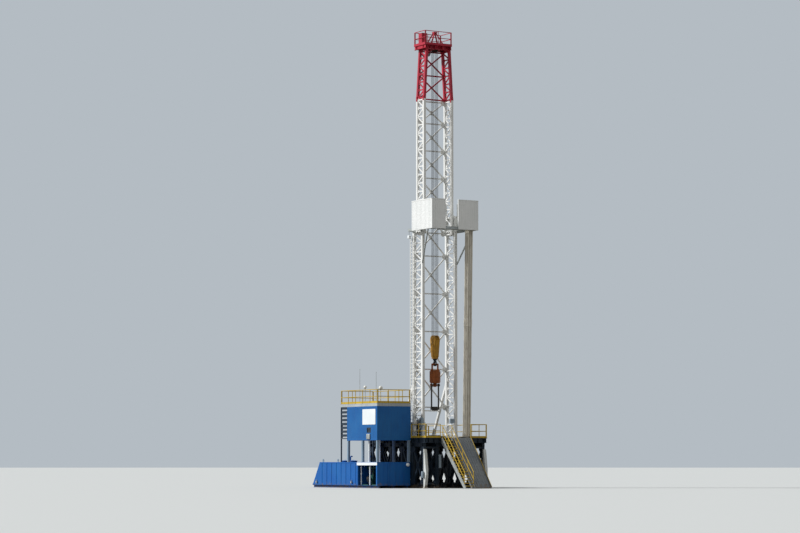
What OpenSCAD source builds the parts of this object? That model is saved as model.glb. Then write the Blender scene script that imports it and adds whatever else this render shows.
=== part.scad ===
// Land drilling rig with a telescoping lattice mast, in millimetres.
// X points from the well to the pipe ramp, Z up, and the origin is the well centre at ground level.
// "Near" is the side of the doghouse, at negative Y.

/* [Drill floor] */
// Height of the drill floor above the ground
floor_h = 4000; // [3400:100:5200]
// Floor edge at the pipe ramp, from the well centre
floor_front = 3250; // [3000:50:3800]
// Floor edge behind the drawworks, from the well centre
floor_rear = 5600; // [5500:50:6600]
// Half width of the drill floor
floor_half = 2900; // [2700:50:3400]
// Depth of the beams under the deck
floor_beam_h = 380; // [260:10:500]
// Thickness of the deck plate
deck_t = 20; // [10:1:30]
// Side of the square hole over the well
well_hole = 900; // [700:10:1000]
// Width of the rotary table housing
rotary_w = 1250; // [1150:10:1400]
// Height of the rotary table housing
rotary_h = 220; // [150:10:300]
// Diameter of the rotary table opening
rotary_bore_d = 444.5; // [300:0.5:520]

/* [Substructure] */
// Width of each side box over its beams
box_w = 1450; // [1200:50:1600]
// Depth of the main beams
main_beam_h = 300; // [240:10:400]
// Width of the main beams
main_beam_w = 260; // [200:10:300]
// Side of the posts between the main beams
box_post_w = 220; // [160:10:240]
// Depth of the diagonals in the boxes
box_brace_w = 150; // [100:10:180]
// Number of bays along a box
box_bays = 5; // [4:1:7]
// Height of the tapered corner jacks
jack_h = 3100; // [2600:50:3300]
// Width of a corner jack at its widest
jack_w = 400; // [300:10:500]

/* [Mast] */
// Distance between the chord centres across the lower section
lower_w = 3100; // [3000:20:3400]
// Distance between the chord centres from front to back of the lower section
lower_d = 1300; // [1200:20:1500]
// Side of the chords of the lower section
lower_chord = 220; // [180:5:240]
// Height of the top of the lower section above the ground
lower_top = 22000; // [21400:100:23500]
// Lacing bays in a side of the lower section
lower_bays = 24; // [18:1:28]
// Side of the chords of the upper section
upper_chord = 200; // [160:5:220]
// Distance between the chord centres from front to back of the upper section
upper_d = 1000; // [900:20:1080]
// Gap between the nested sections
nest_gap = 25; // [15:5:60]
// Length of the upper section that stays inside the lower one
nest_overlap = 1500; // [1200:50:1800]
// Height of the colour break where the red top begins
red_z = 31500; // [30500:100:32500]
// Height of the mast top under the crown
mast_top = 35600; // [34600:100:36600]
// Lacing bays in a side of the upper section
upper_bays = 16; // [12:1:20]
// Lacing bays in a side of the red top
top_bays = 6; // [4:1:8]
// Distance between the chord centres at the mast top
top_w = 2150; // [2050:10:2300]
// Height of the level girt near the top of the white section
girt_z = 29600; // [29000:100:30200]
// Depth of the lacing bars of the lower section
lower_lacing = 85; // [60:5:110]
// Depth of the lacing bars of the upper section and the red top
upper_lacing = 105; // [70:5:130]
// Thickness of the lacing bars
lacing_t = 60; // [40:5:80]
// Depth of the back bracing bars
back_w = 100; // [70:5:130]
// Height of the shoes under the mast legs
shoe_h = 300; // [200:10:400]
// Height on the mast where the rear struts meet it, above the drill floor
strut_h = 4300; // [3600:100:5000]
// Distance of the rear struts' feet behind the well
strut_foot = 2800; // [2500:50:3000]

/* [Racking board] */
// Height of the top of the board above the ground
board_z = 20900; // [20300:100:21300]
// Reach of the board in front of the well
board_front = 3100; // [2900:20:3400]
// Reach of the board behind the well
board_rear = 650; // [400:50:900]
// Half width of the board over the wind walls
board_half = 2200; // [2100:20:2500]
// Depth of the board's beams
board_beam = 200; // [140:10:240]
// Height of the wind walls above the board
windwall_h = 2200; // [1800:50:2500]
// Thickness of the wind wall sheets
windwall_t = 30; // [10:2:40]
// Near edge of the gap between the front wind walls
gap_near = 900; // [700:20:1100]
// Far edge of the gap between the front wind walls
gap_far = 300; // [100:20:500]
// Distance from the well to the rear end of the side wind walls
windwall_rear = 0; // [-200:20:300]
// Width of a finger
finger_w = 45; // [30:5:60]
// Clear slot between two fingers
finger_slot = 160; // [145:5:175]
// Number of fingers on each side
fingers = 9; // [7:1:9]

/* [Drill pipe] */
// Outer diameter of the drill pipe
pipe_d = 127; // [88.9:0.1:139.7]
// Diameter of the tool joints
joint_d = 165; // [120:1:168]
// Reach of the stands above the racking board
stand_over = 1500; // [1200:50:1800]
// Stands side by side in one slot
stands_in_slot = 3; // [2:1:5]
// Slots that hold stands
stand_slots = 3; // [1:1:4]

/* [Crown] */
// Length of the crown platform from front to back
crown_l = 1700; // [1500:20:1900]
// Reach of the crown platform to the near side
crown_near = 1460; // [1300:20:1700]
// Reach of the crown platform to the far side
crown_far = 1140; // [1100:20:1400]
// Depth of the crown beams
crown_beam = 300; // [240:10:360]
// Height of the frame over the crown sheaves
gin_h = 1150; // [900:10:1200]
// Pitch diameter of the sheaves
sheave_d = 580; // [500:10:640]
// Width of a sheave
sheave_w = 80; // [60:5:90]
// Diameter of the drill line
line_d = 29; // [22:1:35]

/* [Travelling gear] */
// Height of the top of the travelling block above the ground
block_top = 12300; // [11900:50:13300]
// Height of the travelling block
block_h = 1900; // [1700:50:2000]
// Width of the travelling block from front to back
block_w = 760; // [700:10:780]
// Height of the swivel's housing
swivel_h = 1050; // [900:10:1200]
// Width of the swivel's housing across the rig
swivel_w = 980; // [800:10:1100]
// Length of the elevator links
link_len = 1900; // [1700:20:2000]

/* [Drawworks] */
// Distance of the drum shaft behind the well
drum_x = 3300; // [3200:50:3600]
// Height of the drum shaft above the drill floor
drum_z = 950; // [850:10:1100]
// Diameter of the drum barrel
drum_d = 620; // [500:10:700]
// Diameter of the drum flanges
flange_d = 1250; // [1000:10:1400]
// Length of the drum between its flanges
drum_len = 1150; // [900:10:1200]

/* [Doghouse] */
// Length of the cabin
cabin_l = 4750; // [4300:50:5200]
// Width of the cabin
cabin_w = 3100; // [2800:20:3200]
// Front of the cabin, from the well centre
cabin_front = 950; // [700:50:1200]
// Height of the cabin's walls
cabin_h = 2500; // [2300:50:2800]
// Thickness of the cabin's walls
cabin_wall = 60; // [40:5:100]
// Depth of the roof with its edge strip
cabin_roof = 250; // [120:10:300]
// Width of a doorway
door_w = 820; // [700:10:950]
// Height of a doorway
door_h = 1980; // [1900:10:2100]
// Thickness of a door leaf
door_t = 44; // [30:2:60]
// Width of a cabin window
window_w = 540; // [350:10:700]
// Height of a cabin window
window_h = 340; // [300:10:600]
// Depth of the open porch under the rear end of the roof
porch_l = 1050; // [800:50:1200]

/* [Water tank] */
// Height of the tank's deck above the ground
tank_h = 2070; // [1700:10:2300]
// Rear end of the tank at the ground, behind the well
tank_rear = 9600; // [9000:100:10500]
// How far the sloped end leans in at its top
tank_slope = 1300; // [900:50:1700]
// Thickness of the tank's plates
tank_plate = 16; // [8:1:25]
// Length of the open pump bay in front of the tank
bay_l = 3200; // [2600:50:3600]
// Height of the skid beams under the tank
skid_h = 220; // [160:10:300]

/* [Stairs and ramp] */
// Width of the stairs over the stringers
stair_w = 900; // [800:20:1000]
// Near edge of the stairs, from the well centre
stair_y = 1450; // [1350:10:1600]
// Run of the stairs
stair_run = 3550; // [3000:50:4200]
// Number of treads
treads = 17; // [14:1:20]
// Width of the pipe ramp
ramp_w = 1700; // [1400:20:1900]
// Near edge of the pipe ramp, from the well centre
ramp_y = 400; // [340:10:480]
// Run of the pipe ramp
ramp_run = 3050; // [2600:50:3600]
// Thickness of the ramp
ramp_t = 240; // [160:10:300]

/* [Railings] */
// Height of the railings
rail_h = 1100; // [1000:10:1200]
// Greatest distance between two posts of a railing
rail_step = 1150; // [900:50:1600]
// Diameter of the railing tubes
rail_d = 56; // [38:1:64]

/* [Hidden] */
$fn = 32;

// Clearance between two pieces that rest against each other
seat_gap = 0.3;

// Drill floor
deck_under = floor_h - deck_t;
sub_top = deck_under - floor_beam_h;

// Substructure
box_x0 = -floor_rear + 100;
box_x1 = floor_front - 350;
box_outer_y = floor_half - main_beam_w / 2;
box_inner_y = floor_half - box_w + main_beam_w / 2;
cellar_half = floor_half - box_w;
beam_flange = 18;
tie_h = 140;
beam_web = 12;
jack_foot_h = 120;
jack_tip_w = 130;
jack_t = 200;
spreader_in = 150;

// Mast
leg_foot = floor_h + shoe_h;
upper_w = lower_w - lower_chord - upper_chord - 2 * nest_gap;
upper_foot = lower_top - nest_overlap;
lower_inner = (lower_w - lower_chord) / 2;
upper_inner = (upper_w - upper_chord) / 2;
top_lean = atan((upper_w - top_w) / 2 / (mast_top - red_z));
back_t = 80;
shoe_plate = 60;
shoe_w = 460;
strut_w = 180;
strut_pin_h = 120;
strut_shoe = 200;
latch_h = 220;
latch_in = 150;
lace_end = 60;
back_foot = 2200;
back_end = 150;
top_panel = 100;
ladder_w = 420;
ladder_bar = 60;
ladder_off = 150;
ladder_step = 300;

// Racking board
board_under = board_z - board_beam;
board_skin = board_half - windwall_t;
board_rim_w = 120;
rim_inner = board_skin - board_rim_w;
walk_d = 300;
walk_x = board_front - windwall_t - walk_d;
finger_pitch = finger_w + finger_slot;
finger_x0 = walk_x - 60 - fingers * finger_pitch + finger_slot;
finger_h = 60;
diving_half = 280;
diving_y = (gap_far - gap_near) / 2;
finger_tip = 170;
diving_len = 1500;
grate_t = 40;
wall_post = 60;
brace_drop = 2900;

// Drill pipe
mat_t = 100;
box_joint = 280;
stand_len = board_z + stand_over - floor_h - mat_t;
stand_top_x = finger_x0 + (fingers - 2) * finger_pitch + finger_w + finger_slot / 2;
stand_top_y = rim_inner - joint_d / 2 - 30;
stand_pitch = joint_d + 6;
stand_lean_x = 260;
stand_lean_y = 110;

// Crown
crown_deck_z = mast_top + crown_beam;
crown_deck_t = 60;
crown_floor = crown_deck_z + crown_deck_t;
sheave_r = (sheave_d - line_d) / 2;
sheave_rim = sheave_d / 2 + line_d / 2;
crown_shaft_z = mast_top + crown_beam / 2;
crown_count = 4;
block_count = 4;
well_half = sheave_rim + 120;
shaft_d = 160;
crown_girder_w = 160;
crown_girder_y = crown_count * sheave_w / 2 + 30 + crown_girder_w / 2;
sheave_side = 4;
fast_x = -(upper_d / 2 + main_beam_w / 2 + sheave_rim + 20);
fast_z = mast_top - 60;
fast_plate = 20;
pin_d = 90;
gin_half_x = 450;
gin_half_y = 620;
gin_bar = 90;
crown_box_w = 520;
crown_box_d = 480;
crown_box_h = 900;

// Travelling gear
block_bottom = block_top - block_h;
block_shaft_z = block_top - block_w / 2;
block_plate = 65;
block_t = block_count * sheave_w + 10 + 2 * block_plate;
hook_t = 150;
hook_eye_r = 110;
hook_r = 200;
hook_cap_d = 340;
hook_cap_h = 110;
hook_z = block_bottom - 400;
bail_r = 70;
bail_z = hook_z - hook_eye_r + bail_r + seat_gap;
bail_half = 270;
bail_rise = 480;
swivel_top = bail_z - bail_rise;
swivel_bottom = swivel_top - swivel_h;
motor_d = 300;
motor_in = 100;
neck_h = 300;
neck_d = 260;
ear_r = 55;
ear_z = swivel_bottom - 150;
link_y = 330;
link_t = 90;
link_eye_r = 60;
link_top = ear_z - link_eye_r + ear_r + seat_gap;
elevator_z = link_top - link_len;
elevator_h = 320;
elevator_d = 480;

// Drawworks
drum_shaft_z = floor_h + drum_z;
drum_side = 40;
drum_shaft_d = 160;
works_l = 2300;
works_front = drum_x - flange_d / 2 - 60;
works_base = 160;
works_shoulder = floor_h + drum_z + 350;
works_side = 120;
motor_l = 750;

// Doghouse
cabin_floor_z = floor_h;
cabin_base = 200;
cabin_under = cabin_floor_z - cabin_base;
cabin_top = cabin_under + cabin_base + cabin_h;
cabin_far = -floor_half;
cabin_near = cabin_far - cabin_w;
cabin_rear = cabin_front - cabin_l;
roof_top = cabin_top + cabin_roof;
cabin_post = 180;
window_z = 440;
window_x = -620;
pane_t = 12;
door_gap = 6;
hinge_gap = 14;
far_door_x = cabin_front - 250 - door_w;
far_window_x = far_door_x - door_w - 500 - window_w;
far_window_z = 1100;
rear_door_y = cabin_near + cabin_w / 2 - door_w / 2;
porch_rear = cabin_rear - porch_l;
porch_t = 60;
porch_post = 90;
porch_gap = 1000;
slats = 8;
slat_t = 40;
slat_share = 0.62;
lug_end = 500;
lug_rise = 150;
lug_r = 110;
lug_hole = 50;
lug_t = 40;

// Water tank
tank_front = cabin_front;
tank_near = cabin_near;
tank_far = cabin_far - 40;
tank_top_rear = tank_rear - tank_slope;
bay_x = tank_front - bay_l;
tank_deck_t = 30;
bay_post = 150;
bay_lintel = 220;
skid_beam_w = 200;

// Stairs and ramp
rise = floor_h / (treads + 1);
going = stair_run / (treads + 1);
stair_plate = rail_d + 4;
stair_far = -stair_y + stair_w;
tread_t = 40;
tread_d = 250;
string_h = 260;
stair_posts = 4;
stair_post_in = 200;
stair_post_drop = 250;
stair_over = 90;
going_slope = floor_h / stair_run;

// Shapes shared by several parts

module bar(a, b, w, t) {
    d = b - a;
    translate(a)
        rotate([0, acos(d.z / norm(d)), atan2(d.y, d.x)])
            translate([-w / 2, -t / 2, 0]) cube([w, t, norm(d)]);
}

module rod(a, b, r) {
    d = b - a;
    translate(a) rotate([0, acos(d.z / norm(d)), atan2(d.y, d.x)]) cylinder(r = r, h = norm(d));
}

module block(x0, x1, y0, y1, z0, z1) {
    translate([x0, y0, z0]) cube([x1 - x0, y1 - y0, z1 - z0]);
}

module strip(a, b, w) {
    d = b - a;
    translate(a) rotate(atan2(d.y, d.x)) translate([0, -w / 2]) square([norm(d), w]);
}

// A flat sheet of bars that stands across Y, drawn with X to the right and Z up
module stand_xz(y, t) {
    translate([0, y, 0]) rotate([90, 0, 0]) linear_extrude(t, center = true) children();
}

// A flat sheet of bars that stands across X, drawn with Y to the right and Z up
module stand_yz(x, t) {
    translate([x, 0, 0]) rotate([90, 0, 90]) linear_extrude(t, center = true) children();
}

module i_section(h, w) {
    square([beam_web, h], center = true);
    for (s = [-1, 1]) translate([0, s * (h - beam_flange) / 2]) square([w, beam_flange], center = true);
}

module beam_x(x0, x1, y, z0, h, w) {
    translate([x0, y, z0 + h / 2]) rotate([90, 0, 90]) linear_extrude(x1 - x0) i_section(h, w);
}

module beam_y(y0, y1, x, z0, h, w) {
    translate([x, y1, z0 + h / 2]) rotate([90, 0, 0]) linear_extrude(y1 - y0) i_section(h, w);
}

module zigzag(u0, u1, v0, v1, bays, w) {
    step = (v1 - v0) / bays;
    for (i = [0 : bays - 1]) {
        left = i % 2 == 0;
        strip([left ? u0 : u1, v0 + i * step], [left ? u1 : u0, v0 + (i + 1) * step], w);
    }
}

module rungs(u0, u1, v0, v1, bays, w) {
    for (i = [0 : bays]) strip([u0, v0 + i * (v1 - v0) / bays], [u1, v0 + i * (v1 - v0) / bays], w);
}

// Posts, top rail and knee rail of one straight railing, from a to b at their feet
module rail_run(a, b, h) {
    n = max(1, round(norm(b - a) / rail_step));
    up = [0, 0, h - rail_d / 2];
    for (i = [0 : n]) rod(a + (b - a) * i / n, a + (b - a) * i / n + up, rail_d / 2);
    rod(a + up, b + up, rail_d / 2);
    rod(a + up / 2, b + up / 2, rail_d / 2);
    for (p = [a, b]) translate(p + up) sphere(rail_d / 2);
}

// Four railings round a rectangle, each a panel of its own with a gap at the corner
module rail_loop(x0, x1, y0, y1, z) {
    c = rail_d + 12;
    for (y = [y0, y1]) rail_run([x0, y, z], [x1, y, z], rail_h);
    for (x = [x0, x1]) rail_run([x, y0 + c, z], [x, y1 - c, z], rail_h);
}

// Substructure

module box_side(y) {
    for (z = [0, sub_top - main_beam_h]) beam_x(box_x0, box_x1, y, z, main_beam_h, main_beam_w);
    z0 = main_beam_h;
    z1 = sub_top - main_beam_h;
    step = (box_x1 - box_x0 - box_post_w) / box_bays;
    first = box_x0 + box_post_w / 2;
    stand_xz(y, box_post_w)
        for (i = [0 : box_bays]) translate([first + i * step - box_post_w / 2, z0]) square([box_post_w, z1 - z0]);
    stand_xz(y, box_brace_w) intersection() {
        for (i = [0 : box_bays - 1]) {
            strip([first + i * step, z0], [first + (i + 1) * step, z1], box_brace_w);
            strip([first + i * step, z1], [first + (i + 1) * step, z0], box_brace_w);
        }
        translate([first, z0]) square([box_x1 - box_x0 - box_post_w, z1 - z0]);
    }
}

module side_box(side) {
    step = (box_x1 - box_x0 - box_post_w) / box_bays;
    y0 = box_inner_y + box_post_w / 2 + seat_gap;
    y1 = box_outer_y - box_post_w / 2 - seat_gap;
    for (y = [box_outer_y, box_inner_y]) box_side(side * y);
    for (i = [0 : box_bays], z = [main_beam_h + seat_gap, sub_top - main_beam_h - tie_h - seat_gap])
        block(box_x0 + i * step + (box_post_w - tie_h) / 2, box_x0 + i * step + (box_post_w + tie_h) / 2,
              min(side * y0, side * y1), max(side * y0, side * y1), z, z + tie_h);
}

module substructure_near_box() {
    color("#1B2630") side_box(-1);
}

module substructure_far_box() {
    color("#1B2630") side_box(1);
}

module substructure_spreaders() {
    color("#1B2630") {
        for (x = [box_x0 + spreader_in, box_x1 - spreader_in])
            beam_y(-cellar_half, cellar_half, x, sub_top - main_beam_h, main_beam_h, main_beam_w);
        beam_y(-cellar_half, cellar_half, box_x0 + spreader_in, 0, main_beam_h, main_beam_w);
        stand_yz(box_x0 + spreader_in, box_brace_w) intersection() {
            union() {
                strip([-cellar_half, main_beam_h], [cellar_half, sub_top - main_beam_h], box_brace_w);
                strip([cellar_half, main_beam_h], [-cellar_half, sub_top - main_beam_h], box_brace_w);
            }
            translate([-cellar_half, main_beam_h + seat_gap])
                square([2 * cellar_half, sub_top - 2 * (main_beam_h + seat_gap)]);
        }
    }
}

// A spindle-shaped jack: narrow at its head and foot, widest below its middle, on a square foot
module jack(side) {
    y = side * (box_outer_y + (main_beam_w - jack_t) / 2);
    x0 = box_x1;
    foot_w = jack_tip_w * 1.3;
    stand_xz(y, jack_t)
        polygon([[x0, jack_foot_h], [x0 + foot_w, jack_foot_h], [x0 + jack_w, jack_h * 0.34],
                 [x0 + jack_w, jack_h * 0.46], [x0 + jack_tip_w, jack_h], [x0, jack_h]]);
    block(x0, x0 + foot_w * 1.6, y - jack_t * 0.7, y + jack_t * 0.7, 0, jack_foot_h);
}

module corner_jacks() {
    color("#D9DEDC") for (side = [-1, 1]) jack(side);
}

// Drill floor

module floor_beams() {
    color("#1B2630") difference() {
        union() {
            for (y = [-floor_half + main_beam_w / 2, floor_half - main_beam_w / 2])
                beam_x(-floor_rear, floor_front, y, sub_top, floor_beam_h, main_beam_w);
            for (y = [-1, 1] * (well_hole + main_beam_w) / 2)
                beam_x(-floor_rear, floor_front, y, sub_top, floor_beam_h, main_beam_w);
            for (x = [-floor_rear + main_beam_w / 2, -strut_foot, -lower_d, lower_d, floor_front - main_beam_w / 2])
                beam_y(-floor_half, floor_half, x, sub_top, floor_beam_h, main_beam_w);
        }
        block(-well_hole / 2, well_hole / 2, -well_hole / 2, well_hole / 2, sub_top - 1, deck_under + 1);
    }
}

module floor_deck() {
    color("#4A4E4C") {
        difference() {
            block(-floor_rear, floor_front, -floor_half, floor_half, deck_under, floor_h);
            block(-well_hole / 2, well_hole / 2, -well_hole / 2, well_hole / 2, deck_under - 1, floor_h + 1);
        }
        block(stand_top_x - stand_lean_x - (stand_slots - 1) * finger_pitch - 250, floor_front - rail_d - 60,
              stand_top_y - stand_lean_y - (stands_in_slot - 1) * stand_pitch - 250,
              stand_top_y - stand_lean_y + 200, floor_h, floor_h + mat_t);
    }
}

module rotary_table() {
    color("#3A3D3E") difference() {
        union() {
            block(-rotary_w / 2, rotary_w / 2, -rotary_w / 2, rotary_w / 2, floor_h, floor_h + rotary_h * 0.7);
            translate([0, 0, floor_h]) cylinder(d = rotary_w * 0.8, h = rotary_h);
            block(-rotary_w, -rotary_w / 2, -150, 150, floor_h, floor_h + rotary_h * 0.8);
        }
        translate([0, 0, floor_h - 1]) cylinder(d = rotary_bore_d, h = rotary_h + 2);
    }
}

module floor_railing() {
    e = rail_d / 2 + 10;
    near = -floor_half + e;
    far = floor_half - e;
    front = floor_front - e;
    rear = -floor_rear + e;
    z = floor_h;
    color("#C9A227") {
        rail_run([cabin_front + 80, near, z], [front, near, z], rail_h);
        rail_run([front, near + rail_d, z], [front, -stair_y - 60, z], rail_h);
        rail_run([front, -ramp_y + ramp_w + 60, z], [front, far - rail_d, z], rail_h);
        rail_run([front, far, z], [rear, far, z], rail_h);
        rail_run([rear, far - rail_d, z], [rear, near + rail_d, z], rail_h);
        rail_run([rear, near, z], [porch_rear - 80, near, z], rail_h);
    }
}

// Stairs and ramp

module stringer_outline() {
    polygon([[floor_front, floor_h], [floor_front + string_h * 0.6, floor_h],
             [floor_front + stair_run, string_h * 0.5], [floor_front + stair_run, 0],
             [floor_front + stair_run - string_h, 0], [floor_front, floor_h - string_h * 1.5]]);
}

module stair_stringers() {
    color("#6E7472") for (y = [-stair_y, stair_far - stair_plate])
        stand_xz(y + stair_plate / 2, stair_plate) stringer_outline();
}

module stair_treads() {
    color("#7B807E") for (i = [1 : treads])
        block(floor_front + i * going - tread_d / 2 + 60, floor_front + i * going + tread_d / 2 + 60,
              -stair_y + stair_plate, stair_far - stair_plate,
              floor_h - i * rise - tread_t, floor_h - i * rise);
}

module stair_railing() {
    for (y = [-stair_y + stair_plate / 2, stair_far - stair_plate / 2]) color("#C9A227") {
        a = [floor_front + stair_post_in, y, floor_h - going_slope * stair_post_in];
        b = [floor_front + stair_run - stair_post_in, y, floor_h - going_slope * (stair_run - stair_post_in)];
        dir = (b - a) / norm(b - a);
        difference() {
            for (i = [0 : stair_posts])
                translate(a + (b - a) * i / stair_posts - [0, 0, stair_post_drop])
                    cylinder(d = rail_d, h = rail_h + stair_post_drop);
            stand_xz(y, stair_plate + 10) stringer_outline();
            block(floor_front - 10, floor_front + stair_run, y - stair_plate, y + stair_plate, -300, 0);
        }
        for (up = [rail_h, rail_h / 2])
            rod(a - dir * stair_over + [0, 0, up], b + dir * stair_over + [0, 0, up], rail_d / 2 + 1);
    }
}

module pipe_ramp() {
    lift = ramp_t / sin(atan(floor_h / ramp_run));
    color("#5B5F5C") {
        stand_xz(-ramp_y + ramp_w / 2, ramp_w)
            polygon([[floor_front, floor_h], [floor_front + ramp_run, 40], [floor_front + ramp_run, 0],
                     [floor_front + ramp_run - ramp_t * 0.2, 0], [floor_front, floor_h - ramp_t * 0.4]]);
        for (y = [-ramp_y + 60, -ramp_y + ramp_w / 2, -ramp_y + ramp_w - 60])
            stand_xz(y, 120)
                polygon([[floor_front, floor_h - 5], [floor_front + ramp_run, 5], [floor_front + ramp_run, 0],
                         [floor_front + ramp_run - lift, 0], [floor_front, floor_h - lift * 1.3]]);
    }
}

// Mast

module mast_shoes() {
    color("#D9DEDC") for (side = [-1, 1], x = [-lower_d / 2, lower_d / 2]) {
        y = side * lower_w / 2;
        block(x - shoe_w / 2, x + shoe_w / 2, y - shoe_w / 2, y + shoe_w / 2, floor_h, floor_h + shoe_plate);
        block(x - lower_chord / 2 - 20, x + lower_chord / 2 + 20, y - lower_chord / 2 - 20,
              y + lower_chord / 2 + 20, floor_h + shoe_plate, leg_foot);
    }
}

module lower_leg(side) {
    y = side * lower_w / 2;
    x = lower_d / 2;
    stand_xz(y, lower_chord) for (s = [-1, 1])
        translate([s * x - lower_chord / 2, leg_foot]) square([lower_chord, lower_top - leg_foot]);
    stand_xz(y, lacing_t) {
        rungs(-x, x, leg_foot + lace_end, lower_top - lace_end, lower_bays, lower_lacing);
        zigzag(-x, x, leg_foot + lace_end, lower_top - lace_end, lower_bays, lower_lacing);
    }
    // Guide pads that the upper section rests between
    for (s = [-1, 1], z = [upper_foot + latch_in, lower_top - latch_h])
        block(s * upper_d / 2 - upper_chord / 2, s * upper_d / 2 + upper_chord / 2,
              min(side * lower_inner, side * (lower_inner - nest_gap)),
              max(side * lower_inner, side * (lower_inner - nest_gap)), z, z + latch_h);
    stand_xz(side * (lower_inner + lower_chord / 4), lower_chord / 2)
        for (z = [upper_foot + latch_in, lower_top - latch_h])
            translate([-x, z]) square([2 * x, latch_h]);
}

module mast_lower_near_leg() {
    color("#E4E7E5") lower_leg(-1);
}

module mast_lower_far_leg() {
    color("#E4E7E5") lower_leg(1);
}

// Cross bracing between the two back chords, of X panels between level girts
module back_panel(half, z0, z1, bays) {
    step = (z1 - z0) / bays;
    intersection() {
        union() {
            rungs(-half, half, z0, z1, bays, back_w);
            for (i = [0 : bays - 1]) {
                strip([-half, z0 + i * step], [half, z0 + (i + 1) * step], back_w);
                strip([half, z0 + i * step], [-half, z0 + (i + 1) * step], back_w);
            }
        }
        translate([-half, z0 - back_w]) square([2 * half, z1 - z0 + 2 * back_w]);
    }
}

module mast_lower_back() {
    color("#E4E7E5") stand_yz(-lower_d / 2, back_t)
        back_panel(lower_inner, leg_foot + back_foot, lower_top - back_end, 5);
}

module mast_rear_struts() {
    top = [-lower_d / 2 - lower_chord / 2, 0, floor_h + strut_h];
    foot = [-strut_foot, 0, floor_h + shoe_plate + strut_pin_h];
    color("#E4E7E5") {
        for (side = [-1, 1]) translate([0, side * lower_w / 2, 0]) {
            intersection() {
                bar(foot, top + [strut_w, 0, (top.z - foot.z) / (top.x - foot.x) * strut_w], strut_w, strut_w);
                block(-strut_foot - 2 * strut_w, top.x, -strut_w, strut_w, floor_h, top.z + 2 * strut_w);
            }
            block(foot.x - strut_shoe, foot.x + strut_shoe, -strut_w / 2 - shoe_plate, strut_w / 2 + shoe_plate,
                  floor_h, floor_h + shoe_plate + strut_w);
        }
        mid = (top + foot) / 2;
        translate([0, -(lower_w - strut_w) / 2 + seat_gap, 0])
            bar(mid, mid + [0, lower_w - strut_w - 2 * seat_gap, 0], back_w, back_w);
    }
}

// Ladder up the near leg's rear chord, held off it by level brackets
module mast_ladder() {
    y = -(lower_w + lower_chord) / 2 - ladder_off;
    x = -lower_d / 2;
    half = (ladder_w - ladder_bar) / 2;
    top = board_under - ladder_step;
    color("#D5D8D5") {
        for (s = [-1, 1])
            block(x + s * half - ladder_bar / 2, x + s * half + ladder_bar / 2, y - ladder_bar / 2,
                  y + ladder_bar / 2, floor_h, top);
        for (z = [floor_h + ladder_step : ladder_step : top - ladder_step / 2])
            block(x - half, x + half, y - ladder_bar / 4, y + ladder_bar / 4, z, z + ladder_bar / 2);
        for (z = [floor_h + 4 * ladder_step : 8 * ladder_step : top], s = [-1, 1])
            block(x + s * half - ladder_bar / 4, x + s * half + ladder_bar / 4, y,
                  -(lower_w + lower_chord) / 2 - seat_gap, z, z + ladder_bar / 2);
    }
}

module upper_leg(side) {
    y = side * upper_w / 2;
    x = upper_d / 2;
    stand_xz(y, upper_chord) for (s = [-1, 1])
        translate([s * x - upper_chord / 2, upper_foot]) square([upper_chord, red_z - upper_foot]);
    stand_xz(y, lacing_t) {
        rungs(-x, x, upper_foot + lace_end, red_z - lace_end, upper_bays, upper_lacing);
        zigzag(-x, x, upper_foot + lace_end, red_z - lace_end, upper_bays, upper_lacing);
    }
}

module mast_upper_near_leg() {
    color("#E4E7E5") upper_leg(-1);
}

module mast_upper_far_leg() {
    color("#E4E7E5") upper_leg(1);
}

module mast_upper_back() {
    color("#E4E7E5") stand_yz(-upper_d / 2, back_t) {
        back_panel(upper_inner, upper_foot + back_end, girt_z, 4);
        back_panel(upper_inner, girt_z, red_z - top_panel, 1);
    }
}

module top_leg(side) {
    x = upper_d / 2;
    h = mast_top - red_z;
    intersection() {
        translate([0, side * upper_w / 2, red_z]) rotate([side * top_lean, 0, 0]) {
            translate([0, 0, -200]) stand_xz(0, upper_chord) for (s = [-1, 1])
                translate([s * x - upper_chord / 2, 0]) square([upper_chord, h + 500]);
            stand_xz(0, lacing_t) {
                rungs(-x, x, top_panel, h - lace_end, top_bays, upper_lacing);
                zigzag(-x, x, top_panel, h - lace_end, top_bays, upper_lacing);
            }
        }
        block(-upper_d, upper_d, -upper_w, upper_w, red_z, mast_top);
    }
}

module mast_top_near_leg() {
    color("#B0333A") top_leg(-1);
}

module mast_top_far_leg() {
    color("#B0333A") top_leg(1);
}

module mast_top_back() {
    chord = upper_chord / cos(top_lean) + 2 * seat_gap;
    z0 = red_z + top_panel;
    z1 = mast_top - top_panel;
    mid = (z0 + z1) / 2;
    half0 = (upper_w - chord) / 2;
    half1 = (top_w - chord) / 2;
    color("#B0333A") stand_yz(-upper_d / 2, back_t) intersection() {
        union() {
            for (z = [z0, mid, z1]) strip([-half0, z], [half0, z], back_w);
            for (s = [-1, 1]) {
                strip([s * half0, z0], [-s * half0, mid], back_w);
                strip([s * half0, mid], [-s * half0, z1], back_w);
            }
        }
        polygon([[-half0, red_z], [half0, red_z], [half1, mast_top], [-half1, mast_top]]);
    }
}

// Racking board

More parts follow.
